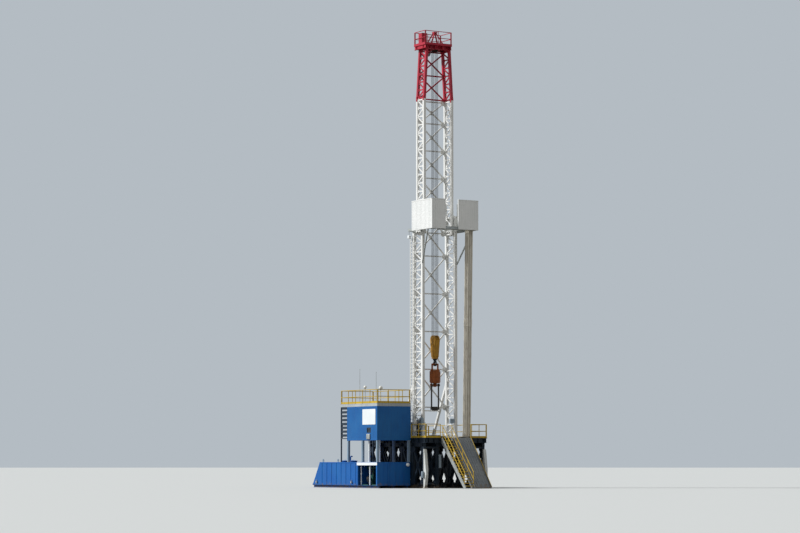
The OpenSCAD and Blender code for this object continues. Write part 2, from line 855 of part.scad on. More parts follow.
module racking_board() {
    rim_y = rim_inner + board_rim_w / 2;
    chord_out = (lower_w + lower_chord) / 2;
    chord_front = (lower_d + lower_chord) / 2;
    color("#C8CCC9") {
        for (side = [-1, 1]) {
            stand_xz(side * rim_y, board_rim_w)
                translate([-board_rear, board_under]) square([board_front - windwall_t + board_rear, board_beam]);
            for (x = [-lower_d / 2, lower_d / 2])
                block(x - 60, x + 60, min(side * chord_out, side * (rim_inner + 1)),
                      max(side * chord_out, side * (rim_inner + 1)), board_under, board_z);
            intersection() {
                bar([chord_front - 200, side * (chord_out - 60), board_z - brace_drop - 200],
                    [walk_x - 400, side * rim_y, board_under + 20], 90, 90);
                block(chord_front, walk_x, -board_half, board_half, board_z - brace_drop - 500,
                      board_under + 20);
            }
        }
        block(walk_x, board_front - windwall_t, -rim_inner, rim_inner, board_z - grate_t, board_z);
        for (x = [walk_x + 50, board_front - windwall_t - 50])
            block(x - 50, x + 50, -rim_inner, rim_inner, board_under, board_z - grate_t);
        block(walk_x - diving_len, walk_x, diving_y - diving_half, diving_y + diving_half, board_z - grate_t,
              board_z);
        for (y = [diving_y - diving_half + 40, diving_y + diving_half - 40])
            block(walk_x - diving_len, walk_x, y - 40, y + 40, board_under + 60, board_z - grate_t);
    }
}

module racking_fingers() {
    color("#C8CCC9") for (side = [-1, 1], i = [0 : fingers - 1])
        block(finger_x0 + i * finger_pitch, finger_x0 + i * finger_pitch + finger_w,
              min(side * rim_inner, diving_y + side * (diving_half + finger_tip)),
              max(side * rim_inner, diving_y + side * (diving_half + finger_tip)), board_z - finger_h, board_z);
}

module windwall_side(side) {
    stand_xz(side * (board_half - windwall_t / 2), windwall_t)
        translate([windwall_rear, board_under]) square([board_front - windwall_rear, board_beam + windwall_h]);
    n = 3;
    x0 = windwall_rear;
    x1 = board_front - windwall_t - wall_post;
    for (i = [0 : n])
        block(x0 + (x1 - x0) * i / n, x0 + (x1 - x0) * i / n + wall_post,
              min(side * board_skin, side * (board_skin - wall_post)),
              max(side * board_skin, side * (board_skin - wall_post)), board_z, board_z + windwall_h);
    for (z = [board_z + windwall_h / 2, board_z + windwall_h - wall_post])
        block(x0, x1, min(side * board_skin, side * (board_skin - wall_post)),
              max(side * board_skin, side * (board_skin - wall_post)), z, z + wall_post);
}

module windwall_near() {
    color("#F0F2F1") windwall_side(-1);
}

module windwall_far() {
    color("#F0F2F1") windwall_side(1);
}

module windwall_front() {
    color("#F0F2F1") for (side = [-1, 1]) {
        y0 = side < 0 ? gap_near : gap_far;
        y1 = board_skin;
        stand_yz(board_front - windwall_t / 2, windwall_t)
            translate([min(side * y0, side * y1), board_under]) square([y1 - y0, board_beam + windwall_h]);
        for (y = [y0, (y0 + y1) / 2])
            block(board_front - windwall_t - wall_post, board_front - windwall_t,
                  min(side * y, side * (y + wall_post)), max(side * y, side * (y + wall_post)),
                  board_z, board_z + windwall_h);
    }
}

// Drill pipe

// Half outline of a stand: two pipes with a tool joint at each end and in the middle
module stand_profile() {
    r = pipe_d / 2;
    j = joint_d / 2;
    mid = stand_len / 2;
    polygon([[0, 0], [j, 0], [j, box_joint], [r, box_joint + 60], [r, mid - box_joint - 60],
             [j, mid - box_joint], [j, mid + box_joint], [r, mid + box_joint + 60],
             [r, stand_len - box_joint - 60], [j, stand_len - box_joint], [j, stand_len], [0, stand_len]]);
}

module drill_pipe_stands() {
    rise = board_z - floor_h - mat_t;
    tilt = atan(norm([stand_lean_x, stand_lean_y]) / rise);
    foot_z = floor_h + mat_t + joint_d / 2 * sin(tilt) + seat_gap;
    color("#A29C8E") for (i = [0 : stand_slots - 1], j = [0 : stands_in_slot - 1])
        translate([stand_top_x - i * finger_pitch - stand_lean_x, stand_top_y - j * stand_pitch - stand_lean_y,
                   foot_z])
            rotate([0, tilt, atan2(stand_lean_y, stand_lean_x)]) rotate_extrude() stand_profile();
}

// Crown

module crown_platform() {
    x = crown_l / 2;
    color("#B0333A") {
        for (s = [-1, 1]) {
            beam_y(-crown_near, crown_far, s * upper_d / 2, mast_top, crown_beam, main_beam_w);
            difference() {
                union() {
                    beam_x(-x, x, s * crown_girder_y, mast_top, crown_beam, crown_girder_w);
                    block(-shaft_d, shaft_d, s > 0 ? crown_girder_y - crown_girder_w / 2 : -crown_girder_y,
                          s > 0 ? crown_girder_y : -crown_girder_y + crown_girder_w / 2,
                          mast_top + 1, crown_deck_z - 1);
                }
                rod([0, -crown_girder_y + beam_web / 2, crown_shaft_z],
                    [0, crown_girder_y - beam_web / 2, crown_shaft_z], shaft_d / 2 + seat_gap);
            }
            difference() {
                union() {
                    block(fast_x - pin_d, -upper_d / 2, s * (sheave_w / 2 + fast_plate / 2) - fast_plate / 2,
                          s * (sheave_w / 2 + fast_plate / 2) + fast_plate / 2, mast_top, crown_deck_z);
                    block(fast_x - pin_d, fast_x + pin_d, s * (sheave_w / 2 + fast_plate / 2) - fast_plate / 2,
                          s * (sheave_w / 2 + fast_plate / 2) + fast_plate / 2, fast_z - pin_d, mast_top + 1);
                }
                rod([fast_x, -sheave_w * 2, fast_z], [fast_x, sheave_w * 2, fast_z], pin_d / 2 + seat_gap);
            }
        }
        for (y = [-crown_near + crown_girder_w / 2, crown_far - crown_girder_w / 2])
            beam_x(-x, x, y, mast_top, crown_beam, crown_girder_w);
        difference() {
            block(-x, x, -crown_near, crown_far, crown_deck_z, crown_floor);
            block(-well_half, well_half, -well_half, well_half, crown_deck_z - 1, crown_floor + 1);
        }
        for (sx = [-1, 1], sy = [-1, 1])
            bar([sx * gin_half_x, sy * gin_half_y, crown_floor - 10], [sx * 60, sy * 60, crown_floor + gin_h - 60],
                gin_bar, gin_bar);
        block(-160, 160, -160, 160, crown_floor + gin_h - 100, crown_floor + gin_h);
    }
}

// One grooved sheave with its shaft along Y, of a given hub diameter
module sheave(hub_d) {
    half = sheave_w / 2 - sheave_side;
    seat = sheave_r - seat_gap;
    rotate([90, 0, 0]) rotate_extrude($fn = 48) polygon([
        [hub_d / 2, -half], [hub_d / 2 + 60, -half], [hub_d / 2 + 80, -half + 14], [seat - 60, -half + 14],
        [seat - 40, -half], [sheave_rim, -half], [sheave_rim, -line_d / 2 - 5], [seat, -line_d / 2 - 1],
        [seat, line_d / 2 + 1], [sheave_rim, line_d / 2 + 5], [sheave_rim, half], [seat - 40, half],
        [seat - 60, half - 14], [hub_d / 2 + 80, half - 14], [hub_d / 2 + 60, half], [hub_d / 2, half]]);
}

module sheave_row(count) {
    for (i = [0 : count - 1]) translate([0, (i - (count - 1) / 2) * sheave_w, 0]) sheave(shaft_d - 1);
}

module crown_sheaves() {
    half = crown_girder_y - beam_web / 2 - 1;
    color("#2B2D2F") {
        translate([0, 0, crown_shaft_z]) {
            sheave_row(crown_count);
            rod([0, -half, 0], [0, half, 0], shaft_d / 2);
        }
        translate([fast_x, 0, fast_z]) {
            sheave(pin_d - 1);
            rod([0, -sheave_w / 2 - fast_plate - 10, 0], [0, sheave_w / 2 + fast_plate + 10, 0], pin_d / 2);
        }
    }
}

module crown_railing() {
    e = rail_d / 2 + 10;
    x = crown_l / 2 - e;
    y0 = -crown_near + e;
    y1 = crown_far - e;
    color("#B0333A") rail_loop(-x, x, y0, y1, crown_floor);
}

module crown_box() {
    y = -crown_near + rail_d + 20;
    color("#B0333A")
        block(-crown_box_w / 2, crown_box_w / 2, y, y + crown_box_d, crown_floor, crown_floor + crown_box_h);
}

// Travelling gear

module drill_lines() {
    color("#2B2D2F") for (i = [0 : block_count - 1], s = [-1, 1]) {
        y = (i - (block_count - 1) / 2) * sheave_w;
        rod([s * sheave_d / 2, y, block_shaft_z], [s * sheave_d / 2, y, crown_shaft_z - 10], line_d / 2);
    }
}

module cheek_outline() {
    top_r = block_w / 2;
    hull() {
        translate([0, block_shaft_z]) circle(top_r, $fn = 48);
        translate([0, block_bottom + 300]) circle(230, $fn = 32);
    }
    translate([-150, block_bottom]) square([300, 400]);
}

module travelling_block() {
    color("#B98F35") difference() {
        stand_xz(0, block_t) cheek_outline();
        translate([0, 0, block_shaft_z]) rotate([90, 0, 0])
            cylinder(r = sheave_rim + 10, h = block_count * sheave_w + 10, center = true);
        rod([0, -block_t, block_shaft_z], [0, block_t, block_shaft_z], shaft_d / 2 + seat_gap);
        for (i = [0 : block_count - 1]) {
            y = (i - (block_count - 1) / 2) * sheave_w;
            block(-block_w, block_w, y - line_d / 2 - 8, y + line_d / 2 + 8, block_shaft_z, block_top + 10);
        }
    }
}

module block_sheaves() {
    color("#2B2D2F") translate([0, 0, block_shaft_z]) {
        sheave_row(block_count);
        rod([0, -block_t / 2 - 20, 0], [0, block_t / 2 + 20, 0], shaft_d / 2);
    }
}

module hook() {
    z = block_bottom;
    color("#2A2A2B") difference() {
        union() {
            translate([0, 0, z - hook_cap_h]) cylinder(d = hook_cap_d, h = hook_cap_h);
            translate([0, 0, hook_z + hook_eye_r]) cylinder(d = hook_r, h = z - hook_cap_h / 2 - hook_z - hook_eye_r);
            stand_xz(0, hook_t) {
                translate([0, hook_z]) circle(hook_r);
                translate([-hook_r / 2, hook_z]) square([hook_r, hook_r + 40]);
            }
        }
        stand_xz(0, 400) {
            translate([0, hook_z]) circle(hook_eye_r);
            translate([0, hook_z - 10]) square([hook_r + 10, 80]);
        }
    }
}

module swivel() {
    color("#8A4A2B") {
        translate([0, 0, swivel_bottom]) cylinder(d = block_w, h = swivel_h);
        for (s = [-1, 1]) {
            translate([0, s * (swivel_w - motor_d) / 2, swivel_bottom + motor_in])
                cylinder(d = motor_d, h = swivel_h - 2 * motor_in);
            rod([0, s * bail_half, swivel_top - 10], [0, s * bail_half, bail_z], bail_r);
            translate([0, s * bail_half, bail_z]) sphere(bail_r);
        }
        rod([0, -bail_half, bail_z], [0, bail_half, bail_z], bail_r);
        translate([0, 0, swivel_bottom - neck_h]) cylinder(d = neck_d, h = neck_h + 10);
        rod([0, -link_y - link_t, ear_z], [0, link_y + link_t, ear_z], ear_r);
    }
}

module elevator_links() {
    color("#3A3A3A") {
        for (s = [-1, 1]) difference() {
            stand_xz(s * link_y, link_t) {
                translate([0, link_top]) circle(130);
                translate([-link_t / 2, elevator_z]) square([link_t, link_len]);
            }
            stand_xz(s * link_y, link_t + 10) translate([0, link_top]) circle(link_eye_r);
        }
        difference() {
            union() {
                translate([0, 0, elevator_z - elevator_h / 2]) cylinder(d = elevator_d, h = elevator_h);
                block(-90, 90, -link_y - link_t / 2, link_y + link_t / 2, elevator_z - 100, elevator_z + 60);
            }
            translate([0, 0, elevator_z - elevator_h]) cylinder(d = pipe_d + 12, h = elevator_h * 2);
        }
    }
}

// Drawworks

module drawworks_frame() {
    half = drum_len / 2 + works_side;
    color("#3C4B57") {
        difference() {
            union() {
                block(-works_front - works_l, -works_front, -half - drum_side, half + drum_side, floor_h,
                      floor_h + works_base);
                for (s = [-1, 1])
                    stand_xz(s * (half + drum_side / 2), drum_side)
                        polygon([[-works_front - works_l, floor_h + works_base],
                                 [-works_front, floor_h + works_base],
                                 [-works_front - 50, works_shoulder],
                                 [-drum_x - 400, works_shoulder + 300],
                                 [-works_front - works_l, works_shoulder]]);
            }
            rod([-drum_x, -half * 2, drum_shaft_z], [-drum_x, half * 2, drum_shaft_z],
                drum_shaft_d / 2 + seat_gap);
        }
        block(-works_front - works_l, -works_front - works_l + motor_l, -half, half, floor_h + works_base,
              works_shoulder);
    }
}

module drawworks_drum() {
    half = drum_len / 2;
    color("#54504A") translate([-drum_x, 0, drum_shaft_z]) rotate([90, 0, 0]) {
        cylinder(d = drum_d, h = drum_len, center = true);
        cylinder(d = drum_shaft_d, h = drum_len + 2 * (works_side + drum_side), center = true);
        for (s = [-1, 1]) translate([0, 0, s * half]) cylinder(d = flange_d, h = 60, center = true);
    }
}

module fast_line() {
    color("#2B2D2F")
        rod([-drum_x + drum_d / 2 + line_d / 2 + seat_gap, 0, drum_shaft_z], [fast_x - sheave_d / 2, 0, fast_z],
            line_d / 2);
}

// Doghouse

module doghouse_posts() {
    color("#D9DEDC") {
        for (x = [cabin_rear + cabin_post / 2, (cabin_rear + cabin_front) / 2, cabin_front - cabin_post / 2],
             y = [cabin_near + cabin_post / 2, cabin_far - cabin_post / 2 - 40])
            block(x - cabin_post / 2, x + cabin_post / 2, y - cabin_post / 2, y + cabin_post / 2, tank_h,
                  cabin_under);
        for (x = [-tank_top_rear + lug_end, porch_rear - lug_end])
            stand_xz(tank_near + lug_r / 2, lug_t) difference() {
                union() {
                    translate([x, tank_h + lug_rise]) circle(lug_r);
                    translate([x - lug_r, tank_h]) square([2 * lug_r, lug_rise]);
                }
                translate([x, tank_h + lug_rise]) circle(lug_hole);
            }
    }
}

module doghouse_floor() {
    color("#3D6FA3") block(cabin_rear, cabin_front, cabin_near, cabin_far, cabin_under, cabin_floor_z);
}

module long_wall(y) {
    translate([cabin_rear, y, cabin_floor_z]) cube([cabin_l, cabin_wall, cabin_h]);
}

module doghouse_near_wall() {
    color("#3D6FA3") difference() {
        long_wall(cabin_near);
        block(window_x, window_x + window_w, cabin_near - 1, cabin_near + cabin_wall + 1,
              cabin_floor_z + window_z, cabin_floor_z + window_z + window_h);
    }
}

module doghouse_far_wall() {
    color("#3D6FA3") difference() {
        long_wall(cabin_far - cabin_wall);
        block(far_door_x, far_door_x + door_w, cabin_far - cabin_wall - 1, cabin_far + 1,
              cabin_floor_z - 1, cabin_floor_z + door_h);
        block(far_window_x, far_window_x + window_w, cabin_far - cabin_wall - 1, cabin_far + 1,
              cabin_floor_z + far_window_z, cabin_floor_z + far_window_z + window_h);
    }
}

module doghouse_front_wall() {
    color("#3D6FA3") block(cabin_front - cabin_wall, cabin_front, cabin_near + cabin_wall,
                           cabin_far - cabin_wall, cabin_floor_z, cabin_floor_z + cabin_h);
}

module doghouse_rear_wall() {
    color("#3D6FA3") difference() {
        block(cabin_rear, cabin_rear + cabin_wall, cabin_near + cabin_wall, cabin_far - cabin_wall,
              cabin_floor_z, cabin_floor_z + cabin_h);
        block(cabin_rear - 1, cabin_rear + cabin_wall + 1, rear_door_y, rear_door_y + door_w,
              cabin_floor_z - 1, cabin_floor_z + door_h);
    }
}

module doghouse_roof() {
    color("#C9CDBF") block(porch_rear, cabin_front, cabin_near, cabin_far, cabin_top, roof_top);
}

module doghouse_roof_railing() {
    e = rail_d / 2 + 10;
    color("#C9A227") rail_loop(porch_rear + e, cabin_front - e, cabin_near + e, cabin_far - e, roof_top);
}

module doghouse_doors() {
    color("#2F5B8C") {
        block(far_door_x - door_w, far_door_x - 2 * door_gap, cabin_far + hinge_gap,
              cabin_far + hinge_gap + door_t, cabin_floor_z + door_gap, cabin_floor_z + door_h - door_gap);
        for (z = [250, door_h / 2, door_h - 250])
            block(far_door_x - 60, far_door_x - 10, cabin_far, cabin_far + hinge_gap + 1,
                  cabin_floor_z + z - 60, cabin_floor_z + z + 60);
        block(cabin_rear + cabin_wall / 2 - door_t / 2, cabin_rear + cabin_wall / 2 + door_t / 2,
              rear_door_y + door_gap, rear_door_y + door_w - door_gap,
              cabin_floor_z + seat_gap, cabin_floor_z + door_h - door_gap);
    }
}

module doghouse_windows() {
    color("#20303C") {
        block(window_x, window_x + window_w, cabin_near + cabin_wall / 2 - pane_t / 2,
              cabin_near + cabin_wall / 2 + pane_t / 2, cabin_floor_z + window_z,
              cabin_floor_z + window_z + window_h);
        block(far_window_x, far_window_x + window_w, cabin_far - cabin_wall / 2 - pane_t / 2,
              cabin_far - cabin_wall / 2 + pane_t / 2, cabin_floor_z + far_window_z,
              cabin_floor_z + far_window_z + window_h);
    }
}

// Open porch under the roof: floor, corner posts down to the tank and up to the roof, windbreak and railing
module doghouse_porch() {
    x0 = porch_rear;
    mid = porch_post / 2;
    color("#2C3A46") {
        block(x0, cabin_rear, cabin_near, cabin_far, cabin_floor_z - porch_t, cabin_floor_z);
        for (y = [cabin_near, cabin_far - porch_post]) {
            block(x0, x0 + porch_post, y, y + porch_post, tank_h, cabin_floor_z - porch_t);
            block(x0, x0 + porch_post, y, y + porch_post, cabin_floor_z, cabin_top);
        }
        rail_run([x0 + mid, cabin_near + porch_post + rail_d, cabin_floor_z],
                 [x0 + mid, cabin_far - porch_gap, cabin_floor_z], rail_h);
        // Windbreak of level slats between the corner post and the cabin
        for (i = [0 : slats - 1])
            block(x0 + porch_post + seat_gap, cabin_rear - seat_gap, cabin_near + mid - slat_t / 2,
                  cabin_near + mid + slat_t / 2, cabin_floor_z + (i + 1 - slat_share) * cabin_h / slats,
                  cabin_floor_z + (i + 1) * cabin_h / slats - seat_gap);
    }
}

// Water tank

module tank_skid() {
    color("#2F5F95") {
        for (y = [tank_near + skid_beam_w, (tank_near + tank_far) / 2, tank_far - skid_beam_w])
            beam_x(-tank_rear, tank_front, y, 0, skid_h - tank_plate, skid_beam_w);
        block(-tank_rear, tank_front, tank_near, tank_far, skid_h - tank_plate, skid_h);
    }
}

module tank_side(x1) {
    lean = tank_slope * skid_h / tank_h;
    polygon([[-tank_rear + lean, skid_h], [x1, skid_h], [x1, tank_h - tank_deck_t],
             [-tank_top_rear, tank_h - tank_deck_t]]);
}

module tank_near_side() {
    color("#3D6FA3") stand_xz(tank_near + tank_plate / 2, tank_plate) tank_side(bay_x);
}

module tank_far_side() {
    color("#3D6FA3") stand_xz(tank_far - tank_plate / 2, tank_plate) tank_side(tank_front);
}

module tank_end_plates() {
    lean = tank_slope * skid_h / tank_h;
    y0 = tank_near + tank_plate;
    y1 = tank_far - tank_plate;
    color("#3D6FA3") {
        stand_xz((y0 + y1) / 2, y1 - y0)
            polygon([[-tank_rear + lean, skid_h], [-tank_rear + lean + tank_plate * 1.2, skid_h],
                     [-tank_top_rear + tank_plate * 1.2, tank_h - tank_deck_t],
                     [-tank_top_rear, tank_h - tank_deck_t]]);
        for (x = [bay_x - tank_plate, tank_front - tank_plate])
            block(x, x + tank_plate, y0, y1, skid_h, tank_h - tank_deck_t);
    }
}

module tank_deck() {
    color("#3D6FA3") block(-tank_top_rear, tank_front, tank_near, tank_far, tank_h - tank_deck_t, tank_h);
}

module pump_bay_frame() {
    z1 = tank_h - tank_deck_t;
    color("#D9DEDC") {
        for (x = [bay_x, tank_front - tank_plate - bay_post])
            block(x, x + bay_post, tank_near, tank_near + bay_post, skid_h, z1);
        block(bay_x, tank_front - tank_plate, tank_near, tank_near + bay_post, z1 - bay_lintel, z1);
    }
}

substructure_near_box();
substructure_far_box();
substructure_spreaders();
corner_jacks();
floor_beams();
floor_deck();
rotary_table();
floor_railing();
stair_stringers();
stair_treads();
stair_railing();
pipe_ramp();
mast_shoes();
mast_lower_near_leg();
mast_lower_far_leg();
mast_lower_back();
mast_rear_struts();
mast_ladder();
mast_upper_near_leg();
mast_upper_far_leg();
mast_upper_back();
mast_top_near_leg();
mast_top_far_leg();
mast_top_back();
racking_board();
racking_fingers();
windwall_near();
windwall_far();
windwall_front();
drill_pipe_stands();
crown_platform();
crown_sheaves();
crown_railing();
crown_box();
drill_lines();
travelling_block();
block_sheaves();
hook();
swivel();
elevator_links();
drawworks_frame();
drawworks_drum();
fast_line();
doghouse_posts();
doghouse_floor();
doghouse_near_wall();
doghouse_far_wall();
doghouse_front_wall();
doghouse_rear_wall();
doghouse_roof();
doghouse_roof_railing();
doghouse_doors();
doghouse_windows();
doghouse_porch();
tank_skid();
tank_near_side();
tank_far_side();
tank_end_plates();
tank_deck();
pump_bay_frame();
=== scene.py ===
import math
from itertools import product

import bmesh
import bpy
from mathutils import Matrix, Vector


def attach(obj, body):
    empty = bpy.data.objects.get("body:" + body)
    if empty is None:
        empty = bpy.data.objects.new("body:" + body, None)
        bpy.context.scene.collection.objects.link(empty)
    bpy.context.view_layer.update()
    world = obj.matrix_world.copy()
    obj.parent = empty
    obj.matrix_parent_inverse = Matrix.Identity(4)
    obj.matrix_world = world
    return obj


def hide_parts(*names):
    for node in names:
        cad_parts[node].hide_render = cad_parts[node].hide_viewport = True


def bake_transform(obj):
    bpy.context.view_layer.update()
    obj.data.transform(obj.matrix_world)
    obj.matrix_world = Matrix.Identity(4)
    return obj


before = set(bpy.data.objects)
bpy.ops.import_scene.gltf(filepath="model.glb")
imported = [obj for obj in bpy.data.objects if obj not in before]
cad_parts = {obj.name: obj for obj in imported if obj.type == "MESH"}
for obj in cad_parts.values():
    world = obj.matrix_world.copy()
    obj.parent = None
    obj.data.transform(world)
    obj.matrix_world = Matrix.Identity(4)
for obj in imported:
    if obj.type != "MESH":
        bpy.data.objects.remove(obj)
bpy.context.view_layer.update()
print("model loaded")


# Stage, light and camera

stage = {
    "floorRadius": 900.0,
    "floorColour": "#CDD0CF",
    "floorBounce": "#77756F",
    "backdrop": "#B4BCC3",
    "sunFrom": (-0.42, -0.72, 0.55),
    "sunStrength": 3.6,
    "sunSoftness": 7.0,
    "skyLight": 0.45,
    "cameraAzimuth": 58.0,
    "cameraDistance": 205.0,
    "cameraHeight": 2.0,
    "lens": 114.0,
    "aim": (-1.5, -2.4, 17.9),
}


def linearColour(code):
    parts = [int(code[i : i + 2], 16) / 255 for i in (1, 3, 5)]
    return tuple(c / 12.92 if c <= 0.04045 else ((c + 0.055) / 1.055) ** 2.4 for c in parts) + (1.0,)


def addNode(tree, kind, settings=None, links=None):
    # settings set a property, in small letters, or an input; links feed an input from a node or an output
    node = tree.nodes.new("ShaderNode" + kind)

    def pickInput(name):
        if isinstance(name, int):
            return node.inputs[name]
        return next(s for s in node.inputs if s.name == name and s.enabled)

    for name, value in (settings or {}).items():
        if isinstance(name, str) and name[0].islower():
            setattr(node, name, value)
        else:
            pickInput(name).default_value = linearColour(value) if isinstance(value, str) else value
    for name, source in (links or {}).items():
        if isinstance(source, bpy.types.Node):
            source = next(s for s in source.outputs if s.enabled)
        tree.links.new(source, pickInput(name))
    return node


def linkToScene(name, mesh, material):
    obj = bpy.data.objects.new(name, mesh)
    bpy.context.collection.objects.link(obj)
    obj.data.materials.append(material)
    return obj


def makeStage():
    floorMaterial = bpy.data.materials.new("paleStudioFloor")
    floorMaterial.use_nodes = True
    tree = floorMaterial.node_tree
    shader = tree.nodes["Principled BSDF"]
    # the light that the floor throws back is that of trodden earth
    seen = addNode(tree, "LightPath").outputs["Is Camera Ray"]
    tone = addNode(tree, "Mix", {"data_type": "RGBA", "A": stage["floorBounce"], "B": stage["floorColour"]},
                   {"Factor": seen})
    tree.links.new(tone.outputs["Result"], shader.inputs["Base Color"])
    shader.inputs["Roughness"].default_value = 0.9
    shape = bmesh.new()
    bmesh.ops.create_circle(shape, cap_ends=True, radius=stage["floorRadius"], segments=96)
    mesh = bpy.data.meshes.new("studioFloor")
    shape.to_mesh(mesh)
    shape.free()
    linkToScene("studioFloor", mesh, floorMaterial)

    world = bpy.data.worlds.new("paleStudio")
    bpy.context.scene.world = world
    world.use_nodes = True
    tree = world.node_tree
    tree.nodes.clear()
    seen = addNode(tree, "LightPath")
    glossy = addNode(tree, "Math", {"operation": "MAXIMUM"},
                     {0: seen.outputs["Is Camera Ray"], 1: seen.outputs["Is Glossy Ray"]})
    direct = addNode(tree, "Math", {"operation": "MAXIMUM"},
                     {0: glossy, 1: seen.outputs["Is Transmission Ray"]})
    light = addNode(tree, "Background", {"Color": "#FFFFFF", "Strength": stage["skyLight"]})
    backdrop = addNode(tree, "Background", {"Color": stage["backdrop"], "Strength": 1.0})
    mix = addNode(tree, "MixShader", None, {0: direct, 1: light, 2: backdrop})
    addNode(tree, "OutputWorld", None, {"Surface": mix})

    sun = bpy.data.lights.new("softSun", "SUN")
    sun.energy = stage["sunStrength"]
    sun.angle = math.radians(stage["sunSoftness"])
    sunObject = bpy.data.objects.new("softSun", sun)
    sunObject.rotation_mode = "QUATERNION"
    sunObject.rotation_quaternion = Vector(stage["sunFrom"]).to_track_quat("Z", "Y")
    bpy.context.collection.objects.link(sunObject)

    camera = bpy.data.objects.new("camera", bpy.data.cameras.new("camera"))
    bpy.context.collection.objects.link(camera)
    turn = math.radians(stage["cameraAzimuth"])
    reach = stage["cameraDistance"]
    camera.location = (reach * math.sin(turn), -reach * math.cos(turn), stage["cameraHeight"])
    look = Vector(stage["aim"]) - camera.location
    camera.rotation_mode = "QUATERNION"
    camera.rotation_quaternion = look.to_track_quat("-Z", "Y")
    camera.data.lens = stage["lens"]
    camera.data.clip_start = 1.0
    camera.data.clip_end = 3000.0
    bpy.context.scene.camera = camera
    bpy.context.scene.view_settings.view_transform = "Standard"


makeStage()
print("stage, light and camera made")


# Materials


def perMetre(millimetres):
    # texture scale that gives features of that size, as the coordinates are in metres
    return 1000.0 / millimetres


def startMaterial(name):
    material = bpy.data.materials.new(name)
    material.use_nodes = True
    tree = material.node_tree
    return material, tree, tree.nodes["Principled BSDF"], addNode(tree, "TexCoord").outputs["Object"]


def joinShader(tree, shader, colour, gloss, height=None, depth=0.001):
    # gloss holds a pattern, its two ends and the roughness at each; depth is the bump's reach in metres
    pattern, *ends = gloss
    names = ("From Min", "From Max", "To Min", "To Max")
    roughness = addNode(tree, "MapRange", dict(zip(names, ends)), {"Value": pattern})
    tree.links.new(colour.outputs["Result"], shader.inputs["Base Color"])
    tree.links.new(roughness.outputs["Result"], shader.inputs["Roughness"])
    if height:
        bump = addNode(tree, "Bump", {"Distance": depth, "Strength": 1.0}, {"Height": height})
        tree.links.new(bump.outputs["Normal"], shader.inputs["Normal"])


def addBlotches(tree, place, base, tint, size, low, high, most=1.0, detail=5.0, rough=0.5, warp=0.0):
    # tint laid over base in blotches of a size in mm, from none at low to most at high
    noise = addNode(tree, "TexNoise", {"Scale": perMetre(size), "Detail": detail, "Roughness": rough,
                                       "Distortion": warp}, {"Vector": place})
    cover = addNode(tree, "MapRange", {"From Min": low, "From Max": high, "To Max": most}, {"Value": noise})
    settings, links = {"data_type": "RGBA", "B": tint}, {"Factor": cover}
    (settings if isinstance(base, str) else links)["A"] = base
    return addNode(tree, "Mix", settings, links), noise


def paintedSteel(name, paint, faded, dirt="#6F675A", rust="#6A3C24", streak=0.35, chipping=0.6, mud=0.0,
                 gloss=0.42):
    material, tree, shader, place = startMaterial(name)
    # sun fading in patches of about 1.6 m
    colour, _ = addBlotches(tree, place, paint, faded, 1600, 0.35, 0.68, detail=4.0)
    # rain streaks 110 mm wide and 1.5 m long
    runs = addNode(tree, "Mapping", {"Scale": (perMetre(110), perMetre(110), perMetre(1500))},
                   {"Vector": place})
    colour, rain = addBlotches(tree, runs, colour, dirt, 1000, 0.50, 0.78, streak, rough=0.62)
    # chips of 5 to 20 mm, drawn at 60 mm so that they show, and more of them where water runs
    specks = addNode(tree, "TexNoise", {"Scale": perMetre(60), "Detail": 6.0, "Roughness": 0.7},
                     {"Vector": place})
    chips = addNode(tree, "MapRange", {"From Min": 0.60, "From Max": 0.68, "To Max": chipping},
                    {"Value": specks})
    wet = addNode(tree, "MapRange", {"From Min": 0.45, "From Max": 0.62}, {"Value": rain})
    rusty = addNode(tree, "Math", {"operation": "MULTIPLY"}, {0: chips, 1: wet})
    colour = addNode(tree, "Mix", {"data_type": "RGBA", "B": rust}, {"Factor": rusty, "A": colour})
    if mud > 0:
        # splashed mud that thins out with height above the ground
        height = addNode(tree, "SeparateXYZ", None, {"Vector": place}).outputs["Z"]
        ragged = addNode(tree, "TexNoise", {"Scale": perMetre(240), "Detail": 4.0}, {"Vector": place})
        edge = addNode(tree, "MapRange", {"From Min": 0.3, "From Max": 0.7, "To Min": -mud, "To Max": mud},
                       {"Value": ragged})
        splash = addNode(tree, "Math", {"operation": "ADD"}, {0: height, 1: edge})
        cover = addNode(tree, "MapRange", {"From Max": mud, "To Min": 0.75, "To Max": 0.0}, {"Value": splash})
        colour = addNode(tree, "Mix", {"data_type": "RGBA", "B": "#7A6A55"}, {"Factor": cover, "A": colour})
    shader.inputs["Specular IOR Level"].default_value = 0.3
    dull = addNode(tree, "Math", {"operation": "ADD"}, {0: rain, 1: rusty})
    # orange peel of a few mm, drawn at 35 mm so that it shows
    peel = addNode(tree, "TexNoise", {"Scale": perMetre(35), "Detail": 3.0}, {"Vector": place})
    joinShader(tree, shader, colour, (dull, 0.3, 1.2, gloss, gloss + 0.3), peel, 0.0012)
    return material


# Two coats of alkyd paint sprayed on structural steel: satin, faded in patches, rain streaks and chips
mastWhite = paintedSteel("mastWhiteAlkyd", "#EDEEEC", "#E3E4E1", streak=0.22, chipping=0.6)
topRed = paintedSteel("crownRedAlkyd", "#BC263C", "#A82D40", dirt="#5C3A38", streak=0.30, chipping=0.3)
# Near-black navy of the substructure: partly its paint, partly painted shade of the shaded space under the
# drill floor
substructureNavyAndShade = paintedSteel("substructureNavyAndPaintedShade", "#182634", "#212F3D", dirt="#3E3B35", streak=0.30,
                                 chipping=0.3, mud=0.30)
jackWhite = paintedSteel("jackWhiteAlkyd", "#E0E3E2", "#CFD3D1", streak=0.40, chipping=0.72, mud=0.25)
cabinBlue = paintedSteel("cabinBlueEnamel", "#105C9F", "#1B66A6", dirt="#33495F", streak=0.28,
                         chipping=0.18, gloss=0.50)
tankBlue = paintedSteel("tankBlueEnamel", "#0859A6", "#1263AC", dirt="#43505C", streak=0.32, chipping=0.3,
                        mud=0.30, gloss=0.50)
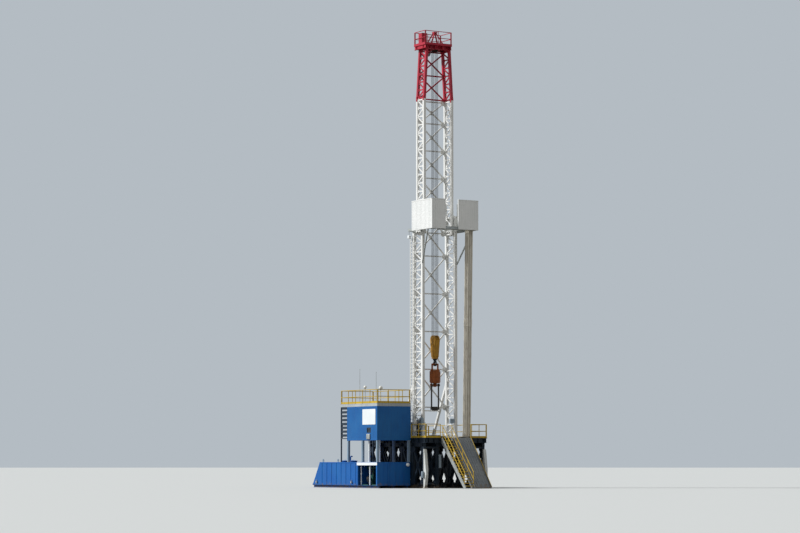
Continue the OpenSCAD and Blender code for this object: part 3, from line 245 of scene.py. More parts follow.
railYellow = paintedSteel("railSafetyYellow", "#CBAA28", "#B59834", dirt="#6E5A2C", streak=0.35,
                          chipping=0.72)
blockYellow = paintedSteel("blockYellowEnamel", "#B5852A", "#9E7832", dirt="#4A3A20", streak=0.55,
                           chipping=0.72)
swivelOrange = paintedSteel("swivelOrangeOxide", "#96501F", "#7F4722", dirt="#33241B", streak=0.55,
                            chipping=0.9, gloss=0.5)
windwallWhite = paintedSteel("windwallWhiteCoat", "#F1F3F2", "#E9ECEB", dirt="#A9A8A1", streak=0.16,
                             chipping=0.12)
roofCoat = paintedSteel("roofPaleCoat", "#B3BBBF", "#A2AAAE", streak=0.40, chipping=0.24)
# Dark navy that is painted shade on the open porch at the cabin's rear, where the recess lies in shade; the
# window and door frames share it
porchNavyAndShade = paintedSteel("porchNavyAndPaintedShade", "#203040", "#2A3B4B", streak=0.3, chipping=0.3)
drawworksGrey = paintedSteel("drawworksGreyEnamel", "#36444F", "#424F5A", dirt="#25231F", streak=0.5,
                             chipping=0.48)
plateWhite = paintedSteel("plateWhiteCoat", "#EEF3F5", "#E3EAED", dirt="#A1A6A4", streak=0.12, chipping=0.0)
pumpGreen = paintedSteel("pumpGreenEnamel", "#1B4843", "#26534D", dirt="#23241F", streak=0.4, chipping=0.36)
consoleGrey = paintedSteel("consolePaleEnamel", "#9FB0BE", "#8E9FAC", streak=0.25, chipping=0.18)
# The cabin's legs are dimmed to blue-grey as painted shade of the shade under the cabin
legShadeBlueGrey = paintedSteel("cabinLegPaintedShadeBlueGrey", "#7C95AB", "#8C9FB0", streak=0.3, chipping=0.3)
# Bare plate of the ramp: grey primer scoured by pipe, rust blooms and dried mud
rampSteel = paintedSteel("rampWornSteel", "#798086", "#888D8F", dirt="#50493A", streak=0.5, chipping=1.0,
                         mud=0.3, gloss=0.4)


def galvanisedSteel():
    # hot-dip zinc: dull grey with crystal spangles of 15 to 40 mm that differ a little in tone and gloss
    material, tree, shader, place = startMaterial("galvanisedZinc")
    spangle = addNode(tree, "TexVoronoi", {"Scale": perMetre(40)}, {"Vector": place}).outputs["Color"]
    tone = addNode(tree, "SeparateColor", None, {"Color": spangle})
    colour = addNode(tree, "Mix", {"data_type": "RGBA", "A": "#9EA4A3", "B": "#B8BDBB"}, {"Factor": tone})
    colour, _ = addBlotches(tree, place, colour, "#756F63", 700, 0.52, 0.75, 0.5)
    shader.inputs["Metallic"].default_value = 0.5
    joinShader(tree, shader, colour, (tone, 0.0, 1.0, 0.42, 0.62))
    return material


def treadPlate():
    # grey painted chequer plate, worn bright on the lozenges and oily between them
    material, tree, shader, place = startMaterial("deckTreadPlate")
    bands = []
    for angle in (45, -45):  # lozenges 30 mm apart, drawn 80 mm apart so that they show
        turned = addNode(tree, "Mapping", {"Rotation": (0, 0, math.radians(angle)),
                                           "Scale": (perMetre(80), perMetre(80), 1.0)}, {"Vector": place})
        bands.append(addNode(tree, "TexWave", {"Scale": 0.5, "Distortion": 0.0}, {"Vector": turned}))
    lozenges = addNode(tree, "Math", {"operation": "MULTIPLY"}, {0: bands[0].outputs["Fac"],
                                                                1: bands[1].outputs["Fac"]})
    colour, oil = addBlotches(tree, place, "#515655", "#32312D", 1100, 0.42, 0.66)
    worn = addNode(tree, "MapRange", {"From Min": 0.5, "From Max": 0.9, "To Max": 0.35}, {"Value": lozenges})
    colour = addNode(tree, "Mix", {"data_type": "RGBA", "B": "#83858A"}, {"Factor": worn, "A": colour})
    colour, _ = addBlotches(tree, place, colour, "#6F6350", 420, 0.56, 0.74, 0.6, 6.0, 0.65)
    joinShader(tree, shader, colour, (oil, 0.4, 0.7, 0.6, 0.35), lozenges, 0.002)
    return material


def pipeSteel():
    # drill pipe in its pale coat: wiped bright in streaks along the pipe, with dried mud
    material, tree, shader, place = startMaterial("drillPipeSteel")
    along = addNode(tree, "Mapping", {"Scale": (perMetre(60), perMetre(60), perMetre(2600))},
                    {"Vector": place})
    colour, grain = addBlotches(tree, along, "#E6E1D4", "#CBC5B7", 1000, 0.35, 0.65, 1.0, 6.0, 0.6)
    colour, clay = addBlotches(tree, place, colour, "#9A8C76", 500, 0.52, 0.70, 0.4, 5.0, 0.6)
    shader.inputs["Metallic"].default_value = 0.15
    joinShader(tree, shader, colour, (grain, 0.3, 0.7, 0.45, 0.65), clay, 0.002)
    return material


def greasyIron(name, bare, shine):
    # cast and forged steel under grease and road dust: near black, slick where it runs
    material, tree, shader, place = startMaterial(name)
    colour, grease = addBlotches(tree, place, bare, "#4A443B", 300, 0.45, 0.70, 1.0, 5.0, 0.6)
    shader.inputs["Metallic"].default_value = 0.4
    # sand-cast grain of 1 mm, drawn at 25 mm so that it shows
    cast = addNode(tree, "TexNoise", {"Scale": perMetre(25), "Detail": 2.0}, {"Vector": place})
    joinShader(tree, shader, colour, (grease, 0.35, 0.7, shine, shine + 0.35), cast, 0.001)
    return material


def wireRope():
    # greased six-strand steel rope: the strands cross at a slant, and the short bands where they catch the
    # light are painted highlight, lighter in colour
    material, tree, shader, place = startMaterial("greasedWireRope")
    slant = addNode(tree, "Mapping", {"Rotation": (math.radians(38), math.radians(30), 0)}, {"Vector": place})
    # strands 10 mm wide, drawn 60 mm wide so that they show
    strands = addNode(tree, "TexWave", {"Scale": perMetre(60) * 0.3, "bands_direction": "Z"},
                      {"Vector": slant}).outputs["Fac"]
    # painted highlight: the colour is lighter on the strands where they catch the light
    colour = addNode(tree, "Mix", {"data_type": "RGBA", "A": "#1B1C1E", "B": "#3B3935"}, {"Factor": strands})
    shader.inputs["Metallic"].default_value = 0.5
    joinShader(tree, shader, colour, (strands, 0.0, 1.0, 0.42, 0.6), strands, 0.003)
    return material


def windowGlass():
    # 6 mm float glass under a film of dust; its dark colour is painted shade of the unlit room behind
    material, tree, shader, place = startMaterial("cabinFloatGlass")
    colour, dust = addBlotches(tree, place, "#18232D", "#5B6468", 180, 0.45, 0.75, 0.5, 4.0)
    joinShader(tree, shader, colour, (dust, 0.4, 0.75, 0.05, 0.3))
    return material


def timberPlank():
    # rough-sawn hardwood planks: brown-grey, grain along X, trodden with mud
    material, tree, shader, place = startMaterial("setbackTimber")
    along = addNode(tree, "Mapping", {"Scale": (perMetre(1400), perMetre(28), perMetre(28))},
                    {"Vector": place})
    colour, grain = addBlotches(tree, along, "#65563F", "#84745B", 1000, 0.3, 0.7, 1.0, 6.0, warp=0.6)
    colour, _ = addBlotches(tree, place, colour, "#463D31", 350, 0.5, 0.72, 0.6, 4.0)
    joinShader(tree, shader, colour, (grain, 0.0, 1.0, 0.75, 0.9), grain, 0.003)
    return material


def opalAcrylic():
    # white acrylic lamp globe: smooth and faintly grey with dust
    material, tree, shader, place = startMaterial("lampOpalAcrylic")
    colour, dust = addBlotches(tree, place, "#EAEAE4", "#CFCEC5", 120, 0.45, 0.8, 1.0, 3.0)
    joinShader(tree, shader, colour, (dust, 0.0, 1.0, 0.18, 0.35))
    return material


galvanised = galvanisedSteel()
deckPlate = treadPlate()
drillPipe = pipeSteel()
machineIron = greasyIron("machineGreasyIron", "#212427", 0.32)
forgedSteel = greasyIron("linkForgedSteel", "#383734", 0.28)
rope = wireRope()
cabinGlass = windowGlass()
timber = timberPlank()
opal = opalAcrylic()

nodeFinish = [
    (substructureNavyAndShade, ["substructure_near_box", "substructure_far_box", "substructure_spreaders",
                         "floor_beams"]),
    (jackWhite, ["corner_jacks"]),
    (legShadeBlueGrey, ["doghouse_posts"]),
    (deckPlate, ["floor_deck"]),
    (machineIron, ["rotary_table", "crown_sheaves", "block_sheaves", "hook", "drawworks_drum"]),
    (forgedSteel, ["elevator_links"]),
    (railYellow, ["floor_railing", "stair_railing", "doghouse_roof_railing", "stair_treads"]),
    (rampSteel, ["pipe_ramp"]),
    (mastWhite, ["mast_shoes", "mast_lower_near_leg", "mast_lower_far_leg", "mast_lower_back",
                 "mast_rear_struts", "mast_ladder", "mast_upper_near_leg", "mast_upper_far_leg",
                 "mast_upper_back"]),
    (topRed, ["mast_top_near_leg", "mast_top_far_leg", "mast_top_back", "crown_platform", "crown_railing",
              "crown_box"]),
    (windwallWhite, ["windwall_near", "windwall_far", "windwall_front"]),
    (galvanised, ["racking_board", "racking_fingers", "stair_stringers"]),
    (drillPipe, ["drill_pipe_stands"]),
    (rope, ["drill_lines", "fast_line"]),
    (blockYellow, ["travelling_block"]),
    (swivelOrange, ["swivel"]),
    (drawworksGrey, ["drawworks_frame"]),
    (cabinBlue, ["doghouse_floor", "doghouse_near_wall", "doghouse_far_wall", "doghouse_front_wall",
                 "doghouse_rear_wall", "doghouse_doors"]),
    (roofCoat, ["doghouse_roof"]),
    (cabinGlass, ["doghouse_windows"]),
    (porchNavyAndShade, ["doghouse_porch"]),
    (tankBlue, ["tank_skid", "tank_near_side", "tank_far_side", "tank_end_plates", "tank_deck",
                "pump_bay_frame"]),
]
for finish, names in nodeFinish:
    for name in names:
        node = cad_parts[name]
        node.data.materials.clear()
        node.data.materials.append(finish)
print("materials made")


# Shapes shared by several pieces

bothWays = (-1, 1)
eachX = ((-1, "-X"), (1, "+X"))
eachY = ((-1, "-Y"), (1, "+Y"))


def around(middle, half):
    return middle - half, middle + half


def spread(low, high, count):
    return [low + (high - low) * i / count for i in range(count + 1)]


def addBox(shape, xs, ys, zs, place=Matrix()):
    # the two ends on each axis come in either order
    low, high = (Vector([pick(ends) for ends in (xs, ys, zs)]) for pick in (min, max))
    fit = Matrix.Translation((low + high) / 2) @ Matrix.Diagonal((*(high - low), 1))
    return bmesh.ops.create_cube(shape, size=1.0, matrix=place @ fit)["verts"]


def addBar(shape, start, end, width, depth):
    # a bar of rectangular section; on a slant its width lies level
    along = Vector(end) - Vector(start)
    turn = along.to_track_quat("Z", "Y").to_matrix().to_4x4()
    fit = Matrix.Translation((Vector(start) + Vector(end)) / 2) @ turn
    bmesh.ops.create_cube(shape, size=1.0, matrix=fit @ Matrix.Diagonal((width, depth, along.length, 1)))


def addPin(shape, x, y, z, radius, sides=12, endRadius=None):
    # a rod along the one axis that is given its two ends
    start, end = (Vector([c[i] if isinstance(c, tuple) else c for c in (x, y, z)]) for i in (0, 1))
    turn = (end - start).to_track_quat("Z", "Y").to_matrix().to_4x4()
    bmesh.ops.create_cone(shape, cap_ends=True, segments=sides, radius1=radius, radius2=endRadius or radius,
                          depth=(end - start).length, matrix=Matrix.Translation((start + end) / 2) @ turn)


def edgesOf(verts):
    # each edge once, in an order that is the same each run
    return list(dict.fromkeys(e for v in verts for e in v.link_edges))


def softenEdges(shape, verts, width, segments=1, axis=None):
    # axis keeps the bevel to the edges that run along it
    for face in {f for v in verts for f in v.link_faces}:
        face.normal_update()
    edges = edgesOf(verts)
    if axis is not None:
        edges = [e for e in edges if abs((e.verts[0].co - e.verts[1].co).normalized()[axis]) > 0.9]
    bmesh.ops.bevel(shape, geom=edges, offset=width, offset_type="OFFSET", segments=segments,
                    profile=0.5, affect="EDGES", clamp_overlap=True, material=-1)


def addSoftBox(shape, xs, ys, zs, width, segments=1, axis=None):
    softenEdges(shape, addBox(shape, xs, ys, zs), width, segments, axis)


def sweepCircle(shape, place, section, sides, centre, axis, turns, steps, advance=0.0):
    # a round section carried round an axis, and along it by advance
    circle = bmesh.ops.create_circle(shape, cap_ends=turns < 1.0 and not advance, radius=section,
                                     segments=sides, matrix=place)["verts"]
    bmesh.ops.spin(shape, geom=circle + edgesOf(circle), cent=centre, axis=axis, angle=2 * math.pi * turns,
                   dvec=Vector(axis) * advance / steps, steps=steps, use_merge=turns >= 1.0 and not advance)


def addRing(shape, centre, axis, radius, section, turns=1.0, steps=24, sides=8):
    # a bar of round section bent to an arc, from the side where the section starts
    axis = Vector(axis)
    side = axis.orthogonal().normalized() if abs(axis.y) < 0.9 else Vector((1, 0, 0))
    turn = axis.cross(side).to_track_quat("Z", "Y").to_matrix().to_4x4()
    place = Matrix.Translation(Vector(centre) + side * radius) @ turn
    sweepCircle(shape, place, section, sides, centre, axis, turns, steps)


def addBall(shape, centre, radius, across=24, down=16):
    bmesh.ops.create_uvsphere(shape, u_segments=across, v_segments=down, radius=radius,
                              matrix=Matrix.Translation(centre))


def keepMesh(shape):
    mesh = bpy.data.meshes.new("pattern")
    shape.to_mesh(mesh)
    shape.free()
    return mesh


def stamp(shape, mesh, place):
    placed = mesh.copy()
    placed.transform(place)
    shape.from_mesh(placed)
    bpy.data.meshes.remove(placed)


def finishPiece(name, shape, material, body="rig", replaced=(), smooth=None):
    # smooth is the angle in degrees below which faces are shaded as one
    bmesh.ops.recalc_face_normals(shape, faces=shape.faces)
    mesh = bpy.data.meshes.new(name)
    shape.to_mesh(mesh)
    shape.free()
    if smooth:
        mesh.shade_smooth()
        mesh.set_sharp_from_angle(angle=math.radians(smooth))
    piece = linkToScene(name, mesh, material)
    if body:
        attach(piece, body)
    if replaced:
        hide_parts(*replaced)
    return piece


def moved(x, y, z, axis="Z", degrees=0.0):
    return Matrix.Translation((x, y, z)) @ Matrix.Rotation(math.radians(degrees), 4, axis)


def makeBolt():
    # a hexagon bolt head on its washer, 46 mm across, standing on the XY plane, with the end of its stud
    shape = bmesh.new()
    addPin(shape, 0, 0, (0, 0.006), 0.030, 10)
    addPin(shape, 0, 0, (0.006, 0.026), 0.023, 6, 0.021)
    addPin(shape, 0, 0, (0.026, 0.036), 0.012, 6)
    return keepMesh(shape)


def makeScrew():
    # a low roofing screw, 28 mm across
    shape = bmesh.new()
    addPin(shape, 0, 0, (0, 0.008), 0.014, 6, 0.010)
    return keepMesh(shape)


bolt, screw = makeBolt(), makeScrew()

# the axis and the angle that turn a bolt's head from +Z to each direction
faceOut = {"+X": ("Y", 90), "-X": ("Y", -90), "+Y": ("X", -90), "-Y": ("X", 90), "+Z": ("X", 0),
           "-Z": ("X", 180)}


def addBolts(shape, xs, ys, zs, way, size=1.0, head=bolt):
    # one at each mix of the places given on the three axes
    for place in product(*(c if isinstance(c, tuple) else (c,) for c in (xs, ys, zs))):
        stamp(shape, head, moved(*place, *faceOut[way]) @ Matrix.Scale(size, 4))


def boltCircle(shape, centre, way, radius, size, turns):
    # bolts round a centre, at angles in degrees
    first, second = (i for i in range(3) if "XYZ"[i] != way[1])
    for turn in turns:
        place = list(centre)
        place[first] += radius * math.cos(math.radians(turn))
        place[second] += radius * math.sin(math.radians(turn))
        addBolts(shape, *place, way, size)


plateHalf = 0.006  # half of the 12 mm plate that gussets and stiffeners are cut from


def makeGusset(reach, height):
    # plate with its two outer corners cut back, welded to a chord that lies on its left
    shape = bmesh.new()
    verts = addBox(shape, (0, reach), around(0, plateHalf), around(0, height / 2))
    softenEdges(shape, [v for v in verts if v.co.x > reach / 2], min(reach, height) * 0.4, 1, 1)
    return keepMesh(shape)


latticePlate, backPlate, boxPlate = makeGusset(0.15, 0.26), makeGusset(0.30, 0.46), makeGusset(0.34, 0.42)


# Mast: gussets at the lacing, splices and pins of the sections, shoe pins, anchor nuts

lower = {"x": 0.65, "y": 1.55, "half": 0.11, "lacing": (4.36, 21.94, 24), "backY": 1.44,
         "backLevels": spread(6.5, 21.85, 5), "splice": 13.15, "spliceHalf": 0.26, "pins": 0.14}
upper = {"x": 0.50, "y": 1.315, "half": 0.10, "lacing": (20.56, 31.44, 16), "backY": 1.215,
         "backLevels": spread(20.65, 29.6, 4) + [31.4]}
redTop = {"foot": 31.5, "head": 35.6, "headY": 1.075, "lacing": (0.10, 4.04, 6), "flange": (31.34, 31.72),
          "bolts": (31.39, 31.46, 31.60, 31.67)}
shoe = {"base": 4.06, "pin": 4.20, "strutX": -2.8, "strutPin": 4.22, "strutHead": (8.02, 8.44)}
latch = {"levels": (20.76, 21.89), "pad": 1.655, "boss": 1.69, "tip": 1.74}


def addLacingPlates(shape, section, y, lacing, stand=Matrix()):
    # a plate on both faces of the lacing, at both chords, where its bars meet
    inner, off = section["x"] - section["half"], 0.036
    for z, face, way in product(spread(*lacing), bothWays, bothWays):
        stamp(shape, latticePlate, stand @ moved(way * inner, y + face * off, z, "Z", 90 + 90 * way))


shape = bmesh.new()
for section, side in product((lower, upper), bothWays):
    addLacingPlates(shape, section, side * section["y"], section["lacing"])
finishPiece("mastLacingGussets", shape, mastWhite)

shape = bmesh.new()
for section in (lower, upper):  # corner plates where X bars meet the chords, bolted squares at the crossings
    x, levels = -section["x"] - 0.046, section["backLevels"]
    for z, side in product(levels, bothWays):
        stamp(shape, backPlate, moved(x, -side * section["backY"], z, "Z", 90 * side))
    for low, high in zip(levels, levels[1:]):
        z = (low + high) / 2
        addBox(shape, around(x, plateHalf), around(0, 0.17), around(z, 0.17))
        addBolts(shape, x - plateHalf, around(0, 0.11), around(z, 0.11), "-X", 0.8)
finishPiece("mastBackGussets", shape, mastWhite)

# Splices of the lower section: doubler plates on each chord, with a pin and its keeper each side of the joint
shape = bmesh.new()
z, half = lower["splice"], lower["half"]
for x, side in product(around(0, lower["x"]), bothWays):
    y = side * lower["y"]
    for edge in around(y, half + 0.010):
        addSoftBox(shape, around(x, 0.09), around(edge, 0.010), around(z, lower["spliceHalf"]), 0.03, 2, 1)
    for pin in around(z, lower["pins"]):
        addPin(shape, x, around(y, half + 0.05), pin, 0.045, 16)
        addBox(shape, around(x, 0.06), around(y + side * (half + 0.03), 0.006), around(pin, 0.02))
    # weld bead round the chord where the two parts meet
    addBox(shape, around(x, half + 0.004), around(y, half + 0.004), around(z, 0.008))
finishPiece("mastSplicePins", shape, mastWhite, smooth=35)

# Shoes: stiffeners, hinge pin through each foot and anchor nuts on the base plate
shape = bmesh.new()
base, pin = shoe["base"], shoe["pin"]
for x, y in product(around(0, lower["x"]), around(0, lower["y"])):
    addPin(shape, x, around(y, 0.19), pin, 0.055, 16)
    for way in bothWays:
        addPin(shape, x, (y + way * 0.131, y + way * 0.145), pin, 0.085, 16)
        addBolts(shape, x + way * 0.18, around(y, 0.18), base, "+Z", 1.4)
        for middle in around(x, 0.07):
            rib = addBox(shape, around(middle, 0.008), (y + way * 0.13, y + way * 0.22), (base, base + 0.13))
            softenEdges(shape, [v for v in rib if abs(v.co.y - y) > 0.2 and v.co.z > base + 0.04], 0.05, 1, 0)
for y in around(0, lower["y"]):  # foot and head pins of the rear struts
    addPin(shape, shoe["strutX"], around(y, 0.19), shoe["strutPin"], 0.06, 16)
    addBox(shape, (-0.80, -0.76), around(y, 0.12), shoe["strutHead"])
    addBolts(shape, -0.80, around(y, 0.08), (8.10, 8.36), "-X")
finishPiece("mastShoePins", shape, mastWhite, smooth=35)

# Latches that hold the drawn-out upper section, bolted to the head of the lower one
shape = bmesh.new()
for x, side in product(around(0, lower["x"]), bothWays):
    pad, boss, tip = (side * latch[name] for name in ("pad", "boss", "tip"))
    for z in latch["levels"]:
        addSoftBox(shape, around(x, 0.09), (pad, boss), around(z, 0.09), 0.02, 2, 1)
        addPin(shape, x, (boss, tip), z, 0.045, 14)
    addBox(shape, around(x, 0.025), (pad, pad + side * 0.03), (21.05, 21.62))
finishPiece("mastSectionLatches", shape, mastWhite, smooth=35)

# Red top: gussets along its leaning legs, and the bolted flanges where it meets the white section
shape = bmesh.new()
lean = math.degrees(math.atan((upper["y"] - redTop["headY"]) / (redTop["head"] - redTop["foot"])))
for side, way in eachY:
    y = side * upper["y"]
    addLacingPlates(shape, upper, 0, redTop["lacing"], moved(0, y, redTop["foot"], "X", side * lean))
    for x in around(0, upper["x"]):
        for edge in around(y, 0.106):
            addSoftBox(shape, around(x, 0.085), (edge - 0.006, edge + 0.008), redTop["flange"], 0.02, 2, 1)
        addBolts(shape, around(x, 0.05), y + side * 0.114, redTop["bolts"], way, 0.7)
finishPiece("redTopGussets", shape, topRed, smooth=35)
print("mast pieces made")


# Racking board: gratings, finger latches, brackets to the mast and the lamp under its near end

board = {"top": 20.90, "rimY": 2.11, "gratingY": 2.05, "walk": (2.77, 3.07), "diving": (1.27, 2.77),
         "divingY": (-0.58, -0.02), "middle": -0.30, "tip": 0.45, "pitch": 0.05,
         "firstFinger": 1.0475, "fingerPitch": 0.205, "fingers": 9, "bracketY": 1.665, "webs": (20.72, 20.88)}


def addGrating(shape, xs, ys, z, pitch=0.06, bar=0.006):
    # bearing bars on edge along X, tied by thinner cross rods
    for y in spread(*ys, max(1, round((ys[1] - ys[0]) / pitch))):
        addBox(shape, xs, around(y, bar / 2), (z, z + 0.014))
    for x in spread(*xs, max(1, round((xs[1] - xs[0]) / 0.15)))[1:-1]:
        addBox(shape, around(x, 0.004), ys, (z, z + 0.009))


shape = bmesh.new()
top, ys = board["top"], board["divingY"]
addGrating(shape, board["walk"], around(0, board["gratingY"]), top, board["pitch"])
addGrating(shape, board["diving"], ys, top, board["pitch"])
for y in ys:  # kick plates along the diving board and its head plate
    addBox(shape, board["diving"], around(y, plateHalf), (top - 0.04, top + 0.07))
addBox(shape, around(board["diving"][0], plateHalf), ys, (top - 0.10, top + 0.07))
finishPiece("boardGratings", shape, galvanised)

shape = bmesh.new()
for i, side in product(range(board["fingers"]), bothWays):
    x = board["firstFinger"] + i * board["fingerPitch"]
    # hinged latch on the tip of each finger, on its pin, and the bolted plate at its root
    tip, root = board["middle"] + side * board["tip"], side * board["gratingY"]
    addSoftBox(shape, around(x, 0.016), (tip, tip + side * 0.10), (top + 0.002, top + 0.035), 0.012, 2, 0)
    addPin(shape, around(x, 0.03), tip + side * 0.02, top + 0.018, 0.010, 10)
    addBox(shape, around(x, 0.05), (root, root - side * 0.14), (top + 0.001, top + 0.013))
    addBolts(shape, around(x, 0.03), root - side * 0.07, top + 0.013, "+Z", 0.4)
finishPiece("fingerLatches", shape, galvanised, smooth=35)

shape = bmesh.new()
for side, way in eachY:
    inner = side * board["bracketY"]
    outer = inner + side * 0.02
    for x in around(0, lower["x"]):  # bolted brackets between the mast and the rim of the board
        addSoftBox(shape, around(x, 0.13), (inner, outer), (20.62, 20.96), 0.03, 2, 1)
        addBolts(shape, around(x, 0.095), outer, (20.68, 20.79, 20.90), way, 0.7)
    for x in spread(-0.4, 2.6, 6):  # stiffeners in the web of the rim
        addBox(shape, around(x, plateHalf), around(side * board["rimY"], 0.064), board["webs"])
for y in spread(-1.8, 1.8, 8):
    addBox(shape, (2.76, 3.068), around(y, plateHalf), (board["webs"][0], 20.855))
# stem and yoke of the floodlight under the near rim
lampX, lampY, lampTop = -0.55, -2.11, 20.38
addBox(shape, around(lampX, 0.015), around(lampY, 0.015), (lampTop, 20.70))
addBox(shape, around(lampX, 0.015), around(lampY, 0.11), around(lampTop, 0.004))
finishPiece("boardBrackets", shape, galvanised, smooth=35)

shape = bmesh.new()
addSoftBox(shape, around(lampX, 0.13), around(lampY, 0.10), (20.10, 20.36), 0.04, 3)
for y in spread(-2.18, -2.02, 4):  # cooling fins
    addBox(shape, around(lampX, 0.11), (y, y + 0.008), (20.355, 20.385))
finishPiece("boardFloodlight", shape, plateWhite, smooth=35)

# Wind walls: pressed ribs, a folded rim along the top and two rows of screws
wind = {"face": 2.20, "front": 3.10, "pitch": 0.20, "ribs": (20.73, 23.04), "screws": (20.80, 21.92, 22.98),
        "frontSpans": ((-2.17, -0.90), (0.30, 2.17))}
shape = bmesh.new()
for side, way in eachY:
    face = side * wind["face"]
    for i in range(15):
        x = 0.12 + wind["pitch"] * i
        addSoftBox(shape, around(x, 0.025), (face, face + side * 0.016), wind["ribs"], 0.010, 1, 2)
        addBolts(shape, x + 0.1, face, wind["screws"], way, head=screw)
    addBox(shape, (-0.004, 3.09), (face - side * 0.04, face + side * 0.02), (23.05, 23.106))
for low, high in wind["frontSpans"]:
    count = round((high - low) / wind["pitch"])
    for i in range(count):
        y = low + (high - low) * (i + 0.5) / count
        addSoftBox(shape, (wind["front"], wind["front"] + 0.016), around(y, 0.025), wind["ribs"], 0.010, 1, 2)
        addBolts(shape, wind["front"], y + 0.09, wind["screws"], "+X", head=screw)
    addBox(shape, (3.056, 3.12), (low - 0.004, high + 0.004), (23.052, 23.104))
finishPiece("windwallRibs", shape, windwallWhite)
print("racking board pieces made")


# Crown: grating and toe boards, sheave keepers, box lid, padeye under the frame, ropes in the grooves

crown = {"deck": 35.96, "well": 0.43, "halfX": 0.83, "ys": (-1.44, 1.12), "shaft": 35.75, "keeperY": 0.356,
         "webs": (35.62, 35.88), "ropeRadius": 0.29, "ropeHalf": 0.0145, "lines": (-0.12, -0.04, 0.04, 0.12),
         "fastSheave": (-0.9545, 0, 35.54), "blockShaft": 11.92}

shape = bmesh.new()
well, halfX, (near, far) = crown["well"], crown["halfX"], crown["ys"]
for xs, ys in ((around(0, halfX), (near, -well)), (around(0, halfX), (well, far)),
               ((-halfX, -well), around(0, well - 0.02)), ((well, halfX), around(0, well - 0.02))):
    addGrating(shape, xs, ys, crown["deck"])
finishPiece("crownGrating", shape, galvanised)

shape = bmesh.new()
toe, off = (crown["deck"], crown["deck"] + 0.12), 0.014  # the boards stand just off the grating's edge
for y in (near - off, far + off):
    addBox(shape, around(0, 0.85), around(y, 0.005), toe)
for x in around(0, halfX + off):
    addBox(shape, around(x, 0.005), (near - 0.008, far + 0.008), toe)
for side, way in eachY:
    y = side * crown["keeperY"]
    # keeper plate over each end of the sheave shaft and web stiffeners of the sheave girders
    addSoftBox(shape, around(0, 0.13), (y, y + side * 0.02), around(crown["shaft"], 0.11), 0.03, 2, 1)
    addBolts(shape, around(0, 0.09), y + side * 0.02, around(crown["shaft"], 0.07), way, 0.8)
    for x in (-0.7, -0.42, 0.42, 0.7):
        addBox(shape, around(x, plateHalf), around(y, 0.07), crown["webs"])
for x, y in product((-0.5, 0.5), (-1.15, -0.8, 0.8, 1.0)):
    addBox(shape, around(x, 0.12), around(y, plateHalf), crown["webs"])
# padeye with its pin under the frame over the sheaves
addBox(shape, around(0, 0.02), around(0, 0.09), (36.86, 37.01))
addPin(shape, around(0, 0.05), 0, 36.90, 0.03, 14)
# lid, pressed swages and hasp of the box
addSoftBox(shape, around(0, 0.30), (-1.40, -0.88), (36.86, 36.90), 0.012, 2)
for z, ys in product((36.05, 36.35, 36.65), ((-1.39, -1.384), (-0.904, -0.898))):
    addBox(shape, around(0, 0.22), ys, (z, z + 0.10))
addBox(shape, (0.26, 0.305), (-1.17, -1.11), (36.74, 36.89))
addPin(shape, 0.305, -1.14, (36.75, 36.82), 0.016, 10)
finishPiece("crownFittings", shape, topRed, smooth=35)


def addBight(shape, centre, turns):
    addRing(shape, centre, (0, 1, 0), crown["ropeRadius"], crown["ropeHalf"], turns, 18, 6)


crownRope, blockRope = bmesh.new(), bmesh.new()
for y in crown["lines"]:
    addBight(crownRope, (0, y, crown["shaft"]), -0.5)
    addBight(blockRope, (0, y, crown["blockShaft"]), 0.5)
addBight(crownRope, crown["fastSheave"], -0.5)
finishPiece("crownRopeBights", crownRope, rope, smooth=60)
finishPiece("blockRopeBights", blockRope, rope, "travelling_gear", smooth=60)

# Drill lines from the crown down to the block: a six-sided rope whose corners stand for its strands.
# They turn once in 2.4 m, which is longer than the real lay of 0.2 m so that the steps can follow it
shape = bmesh.new()
fall, lay = crown["shaft"] - crown["blockShaft"], 2.4
for y, x in product(crown["lines"], around(0, crown["ropeRadius"])):
    foot = Vector((x, y, crown["blockShaft"]))
    sweepCircle(shape, Matrix.Translation(foot), crown["ropeHalf"], 6, foot, (0, 0, 1), fall / lay, 120, fall)
piece = finishPiece("drillLineFalls", shape, rope, None, ("drill_lines",))
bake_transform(piece)
print("crown pieces and drill lines made")


# Travelling gear: cheek plates and bolts of the block, hook latch, swivel flanges, elevator hinge

gear = {"cheek": 0.23, "hook": 10.29, "swivelTop": 9.48,
        "swivelBands": ((9.48, 0.05), (8.95, 0.03), (8.48, 0.05)), "driveY": 0.34, "driveTop": 9.38,
        "driveBands": (8.53, 8.75, 9.0, 9.2, 9.37), "pivot": 8.28, "linkY": 0.33, "linkTop": 8.2756,
        "linkCollars": (7.9, 7.2, 6.75), "elevator": 6.3756}

shape = bmesh.new()
shaft = crown["blockShaft"]
for side, way in eachY:
    face = side * gear["cheek"]
    # round boss over the shaft with eight bolts, and ribs down the cheek
    addPin(shape, 0, (face, face + side * 0.023), shaft, 0.19, 32)
    addPin(shape, 0, (face + side * 0.02, face + side * 0.032), shaft, 0.07, 20)
    boltCircle(shape, (0, face + side * 0.02, shaft), way, 0.15, 0.7, spread(22.5, 337.5, 7))
    for x in (-0.11, 0.11):
        rib = addBox(shape, around(x, 0.015), (face, face + side * 0.03), (10.52, 11.66))
        softenEdges(shape, [v for v in rib if abs(v.co.y) > 0.24], 0.02, 1, 0)
    addBolts(shape, (-0.17, 0.0, 0.17), face, (10.58, 11.0, 11.4), way, 0.8)
for side, way in eachX:  # clevis plates at the foot that take the hook's shank
    inner, outer = side * 0.15, side * 0.18
    addSoftBox(shape, (inner, outer), (-0.15, 0.15), (10.42, 10.66), 0.03, 2, 0)
    addBolts(shape, outer, (-0.1, 0.1), 10.54, way, 0.8)
finishPiece("blockCheekPlates", shape, blockYellow, "travelling_gear", smooth=35)

shape = bmesh.new()
for z in (10.36, 10.30):  # grease rings round the hook's swivel barrel
    addRing(shape, (0, 0, z), (0, 0, 1), 0.171, 0.012, 1.0, 28, 6)
boltCircle(shape, (0, 0, gear["hook"]), "-Z", 0.135, 0.7, range(0, 360, 60))
